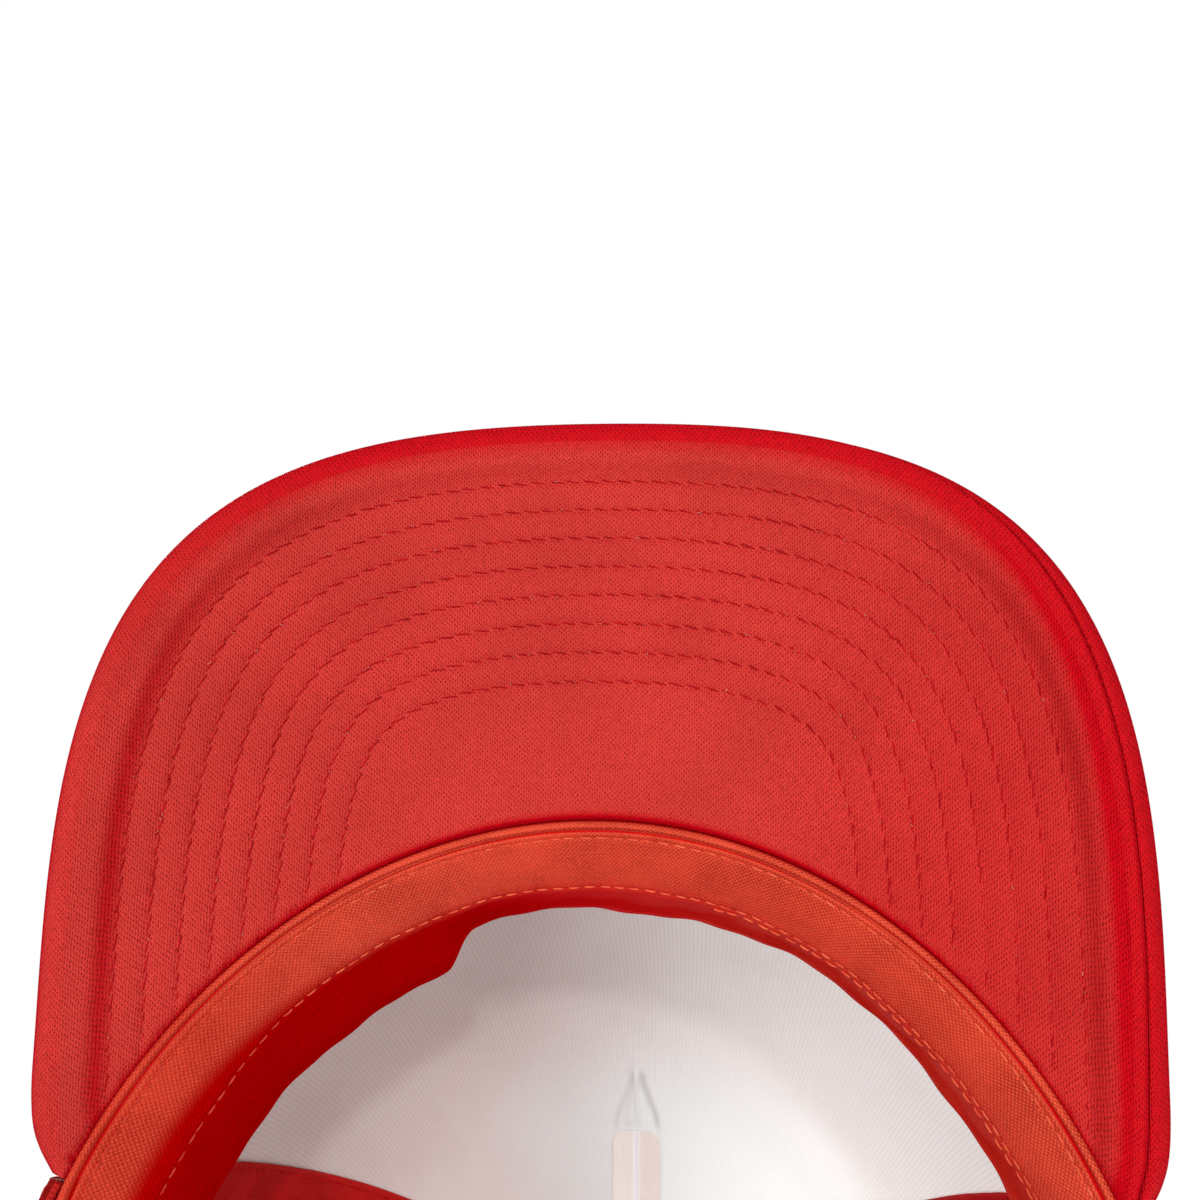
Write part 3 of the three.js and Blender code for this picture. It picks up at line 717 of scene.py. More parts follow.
def flat_x(x):
    """The brim's bend across its width, laid flat."""
    r = BRIM_RADIUS
    return x / 2 * np.sqrt(1 + (x / r) ** 2) + r / 2 * np.arcsinh(x / r)


flat_edge = np.concatenate([half_edge[::-4] * (-1, 1), half_edge[::4]])
flat_edge[:, 0] = flat_x(flat_edge[:, 0])


def edge_distance(x, y):
    """How far a place on the brim is from its outer edge, with the brim laid flat."""
    here = np.stack([flat_x(x), y], -1).reshape(-1, 2)
    best = np.empty(len(here))
    for start in range(0, len(here), 8000):
        part = here[start:start + 8000]
        gap = part[:, None, :] - flat_edge[None]
        best[start:start + 8000] = np.sqrt((gap**2).sum(-1).min(1))
    return best.reshape(np.shape(x))


class Ribs:
    """Lines in plan from the crown's seam to the brim's edge."""

    def __init__(self, across):
        share = np.minimum(np.abs(across), 1)
        outer = np.stack([np.interp(share, edge_run, half_edge[:, k]) for k in range(2)], -1)
        outer[:, 0] *= np.where(across < 0, -1, 1)
        self.across = across
        self.inner = base_point(across * BRIM_END, INNER_OFFSET)
        way = outer - self.inner
        self.length = np.linalg.norm(way, axis=1)
        self.way = way / self.length[:, None]
        self.round = np.minimum(EDGE_ROUND, self.length * 0.6)

    def point(self, distance, lift, side=0.0):
        """side moves a point outwards, level, from where distance puts it."""
        p = self.inner + self.way * np.asarray(distance)[..., None]
        z = brim_height(p[..., 0], p[..., 1])
        normal = unit(stack(p[..., 0] / BRIM_RADIUS, -BRIM_SLOPE, 1.0))
        place = stack(p[..., 0], p[..., 1], z) + normal * np.asarray(lift)[..., None]
        place[..., :2] += self.way * np.asarray(side)[..., None] if np.ndim(side) else self.way * side
        return place


ROW_COUNT, ROW_FIRST, ROW_PITCH, STITCH = 8, 10.8, 5.0, 3.05
COLUMNS, EDGE_STEPS = 481, 16
ribs = Ribs(np.sin(np.linspace(-1, 1, COLUMNS) * math.pi / 2) * 0.35 + np.linspace(-1, 1, COLUMNS) * 0.65)
row_places = ROW_FIRST + ROW_PITCH * np.arange(ROW_COUNT)


def rib_table():
    """For each rib, places along it and how far each is from the edge, always growing towards the crown."""
    steps = 150
    share = np.linspace(0, 1, steps)[:, None]
    along = share * (ribs.length - ribs.round)
    p = ribs.inner + ribs.way * along[..., None]
    d = edge_distance(p[..., 0], p[..., 1])
    d = np.maximum.accumulate(d[::-1], axis=0)[::-1]
    d += np.linspace(1e-4, 0, steps)[:, None]
    return along, d


table_along, table_edge = rib_table()


def along_at(edge_gap):
    """The place along each rib at a distance from the edge, or nan past the crown's seam."""
    return np.array([np.interp(edge_gap, table_edge[::-1, i], table_along[::-1, i], right=np.nan)
                     for i in range(COLUMNS)])


row_along = np.array([along_at(d) for d in row_places])
row_phase = np.zeros((ROW_COUNT, COLUMNS))
for k in range(ROW_COUNT):
    p = ribs.inner + ribs.way * np.nan_to_num(row_along[k])[:, None]
    there = np.stack([flat_x(p[:, 0]), p[:, 1]], -1)
    run = run_along(there)
    row_phase[k] = (run - run[COLUMNS // 2]) / STITCH + 0.37 * k


def flat_rows():
    """Rows of the flat part of a cover, closest together along the stitching."""
    near = np.array([-2.0, -1.3, -0.8, -0.4, 0.0, 0.4, 0.8, 1.3, 2.0])
    outside = np.linspace(EDGE_ROUND + 0.2, ROW_FIRST - 2.7, 6)
    gaps = np.sort(np.concatenate([(row_places[:, None] + near).ravel(), outside]))[::-1]
    rows = np.array([along_at(gap) for gap in gaps])
    for i in range(COLUMNS):
        good = np.flatnonzero(~np.isnan(rows[:, i]))
        first = good[0] if len(good) else len(gaps)
        top = rows[first, i] if len(good) else ribs.length[i] - ribs.round[i]
        rows[:first, i] = top * (np.arange(first) + 1) / (first + 1)
    foot = np.array([0, 0.35, 0.8, 1.4, 2.2])[:, None] * np.minimum(1, rows[0] / 8)
    rest = lerp(foot[-1], rows[0], np.linspace(0, 1, 12)[1:-1, None])
    return np.concatenate([foot, rest, rows, (ribs.length - ribs.round)[None]])


FLAT_ALONG = flat_rows()
flat_plan = ribs.inner + ribs.way * FLAT_ALONG[..., None]
FLAT_GAP = edge_distance(flat_plan[..., 0], flat_plan[..., 1])


# How far the quilting lies below the cover's level and the fat edge above it, how deep the rows' grooves are,
# and how far the cloth slants across a row between two needle holes.
QUILT_INSET, ROLL_STAND, GROOVE, SHINGLE = 0.4, 0.95, 0.2, 0.55
MIDDLE_STITCH = 200
stitch_pull = rng.uniform(0.45, 1.35, (ROW_COUNT, 2 * MIDDLE_STITCH))


def calm(flat_across):
    """The rows half vanish on the wearer's left."""
    return 1 - 0.5 * ramp(flat_across, 28, 62)


def sharpness(flat_across):
    """How plainly the rows show: most at the front."""
    return (0.4 + 0.6 * bell(flat_across, 52)) * calm(flat_across)


def quilting(gap, flat_across):
    """How far the stitch rows and needle holes pull the cloth in: most at the front, unevenly everywhere."""
    nearest = np.clip(np.round((gap - ROW_FIRST) / ROW_PITCH), 0, ROW_COUNT - 1).astype(int)
    off = gap - row_places[nearest]
    phase = np.take_along_axis(row_phase, nearest, 0)
    pull = stitch_pull[nearest, np.floor(phase + MIDDLE_STITCH).astype(int)]
    saw = phase % 1 - 0.5
    front = sharpness(flat_across)
    needle = bell(np.abs(saw) - 0.5, 0.16)
    last = ROW_FIRST + ROW_PITCH * (ROW_COUNT - 1)
    swell = 0.07 * (1 - np.cos(2 * math.pi * (gap - ROW_FIRST) / ROW_PITCH))
    between = swell * np.where(gap > ROW_FIRST, ramp(gap, last + 4, last), 0)
    groove = -GROOVE * front * bell(off - SHINGLE * saw, 0.5)
    dimple = -0.3 * pull * bell(off, 0.42) * needle * calm(flat_across)
    pucker = 0.09 * front * pull * np.cos(2 * math.pi * phase) * bell(np.abs(off) - 1.1, 0.9) * np.sign(off)
    return groove + dimple + pucker + between


def roll(gap, stand):
    """The fat edge outside the first row of stitches, above the quilted part."""
    return (QUILT_INSET + stand) * ramp(-gap, -10.5, -6.4) - QUILT_INSET


def wander(x, y, scale, seed):
    """Slow unevenness of the filling."""
    s = seed * 1.7
    return (np.sin(x / scale + s) * np.cos(y / (scale * 1.3) - s)
            + 0.6 * np.sin((x + y) / (scale * 0.6) + 2 * s)
            + 0.4 * np.cos((x - 1.4 * y) / (scale * 0.37) + 3 * s)) / 2


def seam_turn(across):
    """Where the covers meet round the edge: 0 is on top, 90 outermost and 180 underneath."""
    degrees = 84 + 22 * ramp(across, -0.7, 0.1) + 36 * ramp(across, 0.1, 0.62) + 8 * ramp(across, 0.8, 1)
    return np.radians(degrees)


def cover_height(side):
    """Level of a cover's outer face from the board's middle: side is 1 on top and -1 underneath."""
    return BOARD_TOP + (TOP_COVER if side > 0 else UNDER_COVER)


SEAM_HALF_GAP = rad(1.5)


def brim_surface(side):
    """The outer and inner faces of a brim cover."""
    height = cover_height(side)
    x, y = flat_plan[..., 0], flat_plan[..., 1]
    stand = ROLL_STAND if side < 0 else 0.5 * ROLL_STAND
    swell = quilting(FLAT_GAP, flat_x(x)) + roll(FLAT_GAP, stand) + 0.10 * wander(flat_x(x), y, 11, 2 + side)
    swell += 0.06 * wander(flat_x(x), y, 2.4, 5) * ramp(ribs.across, 0.2, 0.7)
    swell = swell * ramp(FLAT_ALONG, 0.0, 3.0) * ramp(ribs.length - ribs.round, 1, 8)
    foot = (1.7 if side < 0 else 1.1) * bell(FLAT_ALONG, 0.9)
    flat = ribs.point(FLAT_ALONG, side * (height + swell - foot))
    edge_swell = stand * ramp(ribs.length - ribs.round, 1, 8)
    seam = seam_turn(ribs.across)
    last = seam - SEAM_HALF_GAP if side > 0 else math.pi - seam - SEAM_HALF_GAP
    turns = np.linspace(0, 1, EDGE_STEPS + 1)[1:, None] * last
    radial = 1 + 0.13 * np.sin(turns * 2) * edge_swell
    tuck = 0.75 * bell((last - turns) * ribs.round, 0.5)
    turned = np.where(turns > math.pi / 2, math.pi - turns, turns)
    other = np.where(turns > math.pi / 2, cover_height(-side), height)
    lift = (other + edge_swell) * np.cos(turned) * np.where(turns > math.pi / 2, -1, 1)
    reach = ribs.round * radial * np.sin(turns) - tuck * np.sin(turns)
    lift = lift - tuck * np.cos(turns)
    round_part = ribs.point(ribs.length - ribs.round + reach, side * lift)
    outer = np.concatenate([flat, round_part])
    shares = np.array([0.0, 0.35, 0.7, 1.0])[:, None] * (ribs.length - ribs.round)
    inner_flat = ribs.point(shares, np.full_like(shares, side * BOARD_TOP))
    inner_turns = np.linspace(0, 1, 6)[1:, None] * last
    inner_round = ribs.point(ribs.length - ribs.round + ribs.round * 0.5 * np.sin(inner_turns),
                             side * BOARD_TOP * np.cos(inner_turns))
    return outer, np.concatenate([inner_flat, inner_round])


# The knit's place on the flat cloth, with the mark of painted shade as its third value.
def cloth_place(grid, painted_shade_mark):
    return stack(flat_x(grid[..., 0]), grid[..., 1] + 0.8 * grid[..., 2], painted_shade_mark)


def painted_brim_shade():
    """Marks of painted shade on the outer face: 0 to 1 for its deep colour, and on to 2 where the groove at
    the crown's seam is painted dark.

    The deep colour lies beside the fat edge on the wearer's right, and past its crest elsewhere.
    """
    right, left = ramp(-ribs.across, 0.25, 0.7), ramp(ribs.across, 0.15, 0.6)
    inner = 0.7 * right * bell(FLAT_GAP - 9.0, 1.5)
    crest = (0.35 * left + 0.55 * (1 - right)) * ramp(-FLAT_GAP, -7.0, -3.8) + 0.35 * left
    past = np.broadcast_to(np.maximum(0.9 * (1 - right), 0.15), (EDGE_STEPS, COLUMNS))
    seam = 2 * bell(FLAT_ALONG, 1.1) * (FLAT_ALONG < 2.5)
    return np.concatenate([np.maximum(np.maximum(inner, crest), seam), past])


for name, side in (("brim_top_cover", 1), ("brim_under_cover", -1)):
    outer, inner = brim_surface(side)
    points, faces = shell(outer, inner)
    # The outer face carries the marks of painted shade.
    flats = [cloth_place(outer, painted_brim_shade()).reshape(-1, 3), cloth_place(inner, 0).reshape(-1, 3)]
    make(name, points, faces, KNIT, [name], np.concatenate(flats))


def quilting_thread(side):
    """The stitches of every quilting row on one cover."""
    parts = []
    for k in range(ROW_COUNT):
        along = np.nan_to_num(row_along[k])
        good = along > 1.0
        front = sharpness(flat_x(ribs.point(along, np.zeros(COLUMNS))[:, 0]))
        sunk = QUILT_INSET + GROOVE * front + 0.19 - 0.2 * front
        where = ribs.point(along, side * (cover_height(side) - sunk))
        normal = stack(where[:, 0] / BRIM_RADIUS, -BRIM_SLOPE, 1.0) * side
        start = int(np.flatnonzero(good)[0])
        phase = (1 - row_phase[k, start] % 1) * STITCH
        parts.append(thread(where[good], normal[good], STITCH, 1.0, 0.13, SHINGLE / 2, 0.22, phase))
    return join(parts)


def thread_tails(side, count):
    """Short pale ends of thread that stand up at some needle holes."""
    parts = []
    for _ in range(count):
        along_rib = np.nan_to_num(row_along[int(rng.integers(0, ROW_COUNT))])
        column = int(rng.choice(np.flatnonzero(along_rib > 2.0)[2:-2]))
        where = ribs.point(along_rib, np.full(COLUMNS, side * (cover_height(side) - QUILT_INSET)))
        spot, along = where[column], unit(where[column + 1] - where[column - 1])
        normal = unit(np.array([spot[0] / BRIM_RADIUS, -BRIM_SLOPE, 1.0])) * side
        way = unit(along * rng.uniform(-1, 1) + np.cross(normal, along) * rng.uniform(-0.6, 0.6))
        long = rng.uniform(0.4, 0.9)
        line = [spot - normal * 0.1, spot + way * long * 0.5 + normal * 0.12, spot + way * long + normal * 0.05]
        parts.append(thread(line, [normal] * 3, long, 1.0, 0.06, 0.0, 0.0))
    return join(parts)


for name, side in (("brim_quilting_top", 1), ("brim_quilting_under", -1)):
    points, faces = quilting_thread(side)
    make(name, points, faces, THREAD_RED)
points, faces = thread_tails(-1, 90)
make("brim_thread_tails", points, faces, LINT)


# ---- Sweatband ----
BAND_END = math.pi - math.asin(ARCH_HALF_WIDTH / HALF_WIDTH) - rad(1.2)
BAND_THICK = 0.7

# The band's section beside the brim, from its fold in the seam to its free edge: inwards, and up from the hem.
FRONT_PROFILE = [
    (-0.15, -0.4), (-0.15, -1.6), (0.0, -2.5), (0.35, -3.05), (0.9, -3.15), (1.28, -2.8), (1.38, -1.7),
    (1.62, -1.45), (2.0, -1.65), (3.1, -0.4), (4.6, 2.0), (6.4, 4.9), (7.9, 7.4), (8.4, 8.5), (8.6, 9.6),
    (8.75, 12.0), (8.5, 16.0), (7.6, 22.0), (6.9, 26.0), (6.4, 30.0),
]
FIRST_ROW_AT, SECOND_ROW_AT, SHORT_ROW_AT = (2.75, -0.95), (8.4, 8.5), (8.55, 10.0)
BEAD_END_AT, FIELD_MIDDLE_AT, GROOVE_AT = (3.1, -0.4), (5.4, 3.4), (1.45, -1.6)


def smooth_line(points, count=400):
    """An even line through some points."""
    points = np.array(points, float)
    padded = np.concatenate([[2 * points[0] - points[1]], points, [2 * points[-1] - points[-2]]])
    out = []
    for k in range(len(points) - 1):
        a, b, c, d = padded[k:k + 4]
        t = np.linspace(0, 1, 24, endpoint=False)[:, None]
        square, cube = 2 * a - 5 * b + 4 * c - d, 3 * b - a - 3 * c + d
        out.append(0.5 * (2 * b + (c - a) * t + square * t**2 + cube * t**3))
    line = np.concatenate(out + [points[-1:]])
    run = run_along(line)
    even = np.linspace(0, run[-1], count)
    return np.stack([np.interp(even, run, line[:, k]) for k in range(2)], -1), run[-1]


front_line, BAND_RUN = smooth_line(FRONT_PROFILE)
band_run = np.linspace(0, BAND_RUN, len(front_line))
line_tangent = unit(np.gradient(front_line, axis=0))


def run_at(place):
    return band_run[np.argmin(np.linalg.norm(front_line - np.array(place), axis=1))]


GROOVE_RUN, SECOND_ROW = run_at(GROOVE_AT), run_at(SECOND_ROW_AT)


def band_shade_paint(m, shade):
    """Painted shade, deeper red in the fold, the groove beside the cord and the free part, most on the wearer's
    right. Less gloss is left where it is painted.
    """
    x, run, _ = m.axes(m.flat())
    groove = m.span(m.size(m.minus(run, GROOVE_RUN)), 0.15, 0.75, 0.95, 0.0)
    fold = m.span(run, 1.7, 2.9, 1.0, 0.0)
    spread = m.plus(run, m.span(x, -95, -45, 5.0, 0.0))
    free = m.times(m.span(spread, SECOND_ROW - 3.0, SECOND_ROW + 2.0), m.span(x, -30, 60, 1.0, 0.35))
    field = m.span(x, -85, -45, 0.3, 0.0)
    deep = m.most(m.most(groove, fold), m.most(free, field))
    red = m.mix(m.span(x, -45, 5), linear(186, 0, 2), linear(222, 0, 18))
    return m.mix(deep, shade, red), m.minus(1.0, deep)


# The band's cotton has shade painted into its colour by place.
COTTON = weave("band_cotton", linear(238, 70, 50), linear(168, 2, 2), gloss=0.6, strength=1.0, shade_paint=band_shade_paint)


def flap_lean(a, run):
    """The free part leans in further on the wearer's right, as far as a kink near the front."""
    right = 1 - ramp(a, rad(-26), rad(-20))
    left = ramp(a, rad(35), rad(62))
    lean = (4.7 * right + 1.2 * left - 1.0 * bell(a - rad(-12), rad(10))) * ramp(np.abs(a), rad(120), rad(75))
    early = 0.5 * ramp(-a, rad(36), rad(62))
    return lean * (early * ramp(run, 3.5, SECOND_ROW) + (1 - early) * ramp(run, SECOND_ROW, BAND_RUN * 0.97))


def band_face(a, run, back=0.0):
    """The sweatband's inner face, by angle and millimetres along its section. back is a depth into it."""
    a, run = np.broadcast_arrays(np.asarray(a, float), np.asarray(run, float))
    inwards = np.interp(run, band_run, front_line[:, 0])
    height = np.interp(run, band_run, front_line[:, 1])
    lean_in = np.interp(run, band_run, line_tangent[:, 1])
    lean_up = -np.interp(run, band_run, line_tangent[:, 0])
    waves = 0.30 * np.sin(9 * a + 0.7) + 0.2 * np.sin(23 * a + 1.9 + run / 9) + 0.1 * np.sin(51 * a + run / 3)
    cloth = 0.28 * bell(run - run_at(FIELD_MIDDLE_AT), 4.0) - 0.24 * bell(run - SECOND_ROW, 0.45)
    cloth = cloth - 0.18 * bell(run - run_at(FIRST_ROW_AT), 0.4) - 0.14 * bell(run - (BAND_RUN - 2.4), 0.35)
    push = cloth + waves * ramp(run, 9, 26) - back
    past = ramp(np.abs(a), BRIM_END, rad(78))
    upright = ramp(np.abs(a), rad(62), rad(115))
    rear_height = 0.4 + (BAND_HEIGHT - 0.4) * run / BAND_RUN
    height = lerp(height + lean_up * push, rear_height, past)
    inwards = lerp(inwards + lean_in * push, 4.2 + push, upright) + flap_lean(a, run)
    inwards = np.maximum(inwards, lerp(-1.0, 2.6 - back, past))
    return wall_point(a, height, -inwards)


# Where the band's rows change their spacing, and how many there are in each stretch.
stops = (0, run_at(BEAD_END_AT), SECOND_ROW - 1.2, SECOND_ROW + 1.2, BAND_RUN - 3.2, BAND_RUN - 0.25)
band_runs = np.unique(np.concatenate([
    np.linspace(stops[k], stops[k + 1], count) for k, count in enumerate((34, 14, 9, 10, 10))]))
BAND_COLUMNS, BACK_ROWS = 640, 40
band_angles = np.linspace(-BAND_END, BAND_END, BAND_COLUMNS)
thick = lerp(0.3, BAND_THICK, ramp(np.linspace(0, BAND_RUN, BACK_ROWS), 3.5, 6))
front_face = band_face(band_angles[None], band_runs[:, None])
top_edge = band_face(band_angles[None], np.full((1, BAND_COLUMNS), BAND_RUN), BAND_THICK / 2)
back_runs = np.linspace(0, BAND_RUN - 0.2, BACK_ROWS)
back_face = band_face(band_angles[None], back_runs[::-1, None], thick[::-1, None])
band_loop = np.concatenate([front_face, top_edge, back_face])
down_the_back = BAND_RUN + 0.8 + np.arange(BACK_ROWS) * BAND_RUN / BACK_ROWS
loop_run = np.concatenate([band_runs, [BAND_RUN + 0.4], down_the_back])
MEAN_RADIUS = 90
band_flat = stack(band_angles[None] * MEAN_RADIUS, loop_run[:, None])
points, faces = tube(band_loop)
make("sweatband", points, faces, COTTON, ["sweatband"], band_flat)

band_rows = []
fine = np.linspace(-BAND_END + rad(0.6), BAND_END - rad(0.6), 1500)
for place, phase, span in ((FIRST_ROW_AT, 0.0, fine), (SECOND_ROW_AT, 1.4, fine),
                           (SHORT_ROW_AT, 0.8, np.linspace(rad(14), rad(64), 500))):
    where, normal = line_on(band_face, span, np.full_like(span, run_at(place)), -1.0)
    band_rows.append(thread(where, normal, 2.7, 0.72, 0.16, 0.06, 0.2, phase))
points, faces = join(band_rows)
make("sweatband_stitching", points, faces, THREAD_ORANGE)


def interlining_lean(a, height):
    slope = lerp(-1.8, 4.2, ramp(height, -4, 11)) - 2.0 * ramp(height, 14, BAND_HEIGHT)
    return slope * (1 - ramp(np.abs(a), rad(62), rad(115)))


INTERLINING_END = math.pi - STRAP_END - rad(2)
angles = np.linspace(-INTERLINING_END, INTERLINING_END, 200)
section = rounded_section((BAND_HEIGHT - 6) / 2, 0.8, 12)
heights = section[:, 0][:, None] + BAND_HEIGHT / 2
ply = lerp(PLY["interlining"][0], PLY["interlining"][1], section[:, 1][:, None])
grid = wall_point(angles[None], heights, ply - interlining_lean(angles[None], heights))
points, faces = tube(grid)
make("sweatband_interlining", points, faces, FELT, ["sweatband_interlining"])

UP = np.array([0.0, 0.0, 1.0])
CORD_COLUMNS, CORD_SIDES, CORD_RADIUS, CORD_LENGTH, CORD_ROUND = 240, 12, 0.6, 220, 6.3
cord_ribs = Ribs(np.linspace(-1, 1, CORD_COLUMNS))
cord_line = cord_ribs.point(np.full(CORD_COLUMNS, -0.9), np.full(CORD_COLUMNS, -1.8))
cord_along = unit(np.gradient(cord_line, axis=0))
cord_side = unit(np.cross(cord_along, UP))
cord_top = unit(np.cross(cord_side, cord_along))
turn = np.linspace(0, 2 * math.pi, CORD_SIDES, endpoint=False)[:, None, None]
grid = cord_line[None] + (np.cos(turn) * cord_side[None] + np.sin(turn) * cord_top[None]) * CORD_RADIUS
points, faces = tube(grid)
flats = stack(np.linspace(0, CORD_LENGTH, CORD_COLUMNS)[None], np.linspace(0, CORD_ROUND, CORD_SIDES)[:, None])
make("brim_seam_cord", points, faces, COTTON, ["brim_seam_cord"], flats)


# ---- Crown: the front panel's plies ----
def crown_run(share):
    """Length of the front's middle line from the hem up to a share."""
    shares = np.linspace(0, 1, 400)
    return np.interp(share, shares, run_along(crown_surface(np.zeros(400), shares)))


# Height of the dart's point, its length up from the hem, and how much wider the gathered cloth is at the tape.
DART_TIP, DART_SPREAD = 95.0, 3.4
DART_RUN = crown_run(share_at_height(0.0, DART_TIP))


def dart_gather(a, share):
    """The pinched wedge of cloth between the dart's point and its tape, with soft folds beside it.

    The second result marks where shade is painted in its creases.
    """
    side = crown_surface(a, share)[..., 0]
    past = crown_run(share) - DART_RUN
    half = 0.9 + DART_SPREAD * ramp(past, -1, 14)
    shape = ramp(past, -1.5, 1.5) * (1 - 0.8 * ramp(past, 11, 14))
    ridge = 1.4 * np.exp(-(np.abs(side) / half) ** 3) * shape * (0.7 + 0.3 * np.cos(side * 2.2 + past * 0.3))
    crease = bell(np.abs(side) - half * 1.15, 0.75) * shape
    flanks = -0.7 * crease
    puff = 0.22 * bell(side, 2.4) * bell(past + 3.4, 2.2)
    folds = 0.10 * np.cos(side * 1.5 + 0.12 * past) * bell(past + 2.5, 3.5) * bell(side, 4.5)
    drape = 0.32 * np.cos(0.42 * past + 0.16 * side + 1.5 * np.sin(side / 11))
    drape = drape * bell(side - 40, 15) * bell(past - 2, 13)
    # Painted shade: more on the crease on the wearer's left, and a faint line down the middle.
    marks = crease * np.where(side > 0, 0.6, 0.3) + 0.2 * bell(side + 0.3, 0.5) * shape
    return ridge + flanks + puff + folds + drape, marks


SEAM_GAP, FRONT_FINE, COARSE_ROWS = 0.0018, 200, 24  # half a gap between panels, in radians, and grid sizes
front_low = float(share_at_height(0.0, FRONT_START))
coarse = np.linspace(front_low, 1, COARSE_ROWS)


def front_grid(offset, columns, shares, gathered=False):
    """Points, angles and shares of one face of a front ply. Fine grids are closest together in the middle."""
    a = np.linspace(-FRONT_SEAM + SEAM_GAP, FRONT_SEAM - SEAM_GAP, columns)
    if columns > FRONT_FINE:
        a = a * 0.72 + np.sign(a) * np.abs(a / FRONT_SEAM) ** 2.2 * FRONT_SEAM * 0.28
    share = np.repeat(shares[:, None], columns, 1)
    share[0] = share_at_height(a, FRONT_START)
    share = np.maximum(share, share[0])
    if gathered:
        offset = offset - dart_gather(a[None], share)[0]
    return crown_point(a[None], share, offset), a, share


def front_flat(a, share):
    return stack(a[None] * 92 * (0.45 + 0.55 * profile_at(a[None], share)[0]), crown_run(share))


near_dart = np.linspace(share_at_height(0.0, 84), 0.93, 50)
shares = np.unique(np.concatenate([np.linspace(front_low, 1, 110), near_dart]))
inside, a, share = front_grid(PLY["lining"][0], 261, shares, gathered=True)
outside, _, coarse_share = front_grid(PLY["lining"][1], 261, coarse)
# The marks of painted shade in the dart's creases go to the lining as its third flat value.
_, crease = dart_gather(a[None], share)
flats = np.concatenate([np.dstack([front_flat(a, share), crease]).reshape(-1, 3),
                        np.dstack([front_flat(a, coarse_share), 0 * coarse_share]).reshape(-1, 3)])
points, faces = shell(inside, outside)
make("front_panel_lining", points, faces, LINING, ["front_panel_lining"], flats)

foam_faces = [front_grid(ply, 97, np.linspace(front_low, 1, 40))[0] for ply in PLY["foam"][::-1]]
points, faces = shell(*foam_faces)
make("front_panel_foam", points, faces, FOAM, ["front_panel_foam"])


def front_swell(a, share):
    """The outer cloth: pulled in along the dart's seam and where it is sewn down to the brim."""
    run = crown_run(share)
    side = crown_surface(a, share)[..., 0]
    seam = ramp(run, DART_RUN - 2, DART_RUN + 8)
    dart = -1.0 * bell(side, 0.75) * seam + 0.3 * bell(np.abs(side) - 2.2, 1.4) * seam
    foot = -1.2 * bell(run - run[:1], 1.6)
    to_seam = (FRONT_SEAM - np.abs(a)) * 80
    edge = -0.9 * bell(to_seam, 1.3)
    stitch = -0.28 * bell(to_seam * profile_at(a, share)[0] - 4.5, 0.6)
    return dart + foot + edge + stitch


_, a, share = front_grid(PLY["fabric"][1], 301, np.linspace(front_low, 1, 130))
outside = crown_point(a[None], share, PLY["fabric"][1] + front_swell(a[None], share))
inside, _, coarse_share = front_grid(PLY["fabric"][0], 301, coarse)
flats = np.concatenate([front_flat(a, share).reshape(-1, 2), front_flat(a, coarse_share).reshape(-1, 2)])
points, faces = shell(outside, inside)
make("front_panel_fabric", points, faces, FACE_CLOTH, ["front_panel_fabric"], flats)


# ---- Crown: mesh panels ----
CELL_WIDTH, CELL_HEIGHT, HOLE_SHARE = 3.3, 3.0, 0.70
CELL_SIDES, KEY_SCALE = 12, 200  # points round a cell, and steps per millimetre when shared points are matched
# Half axes of two ovals round the rear opening. Cells inside the first are left out, and points stay outside
# the second.
ARCH_CUT, ARCH_HOLD = (57.0, 65.0), (58.3, 66.3)


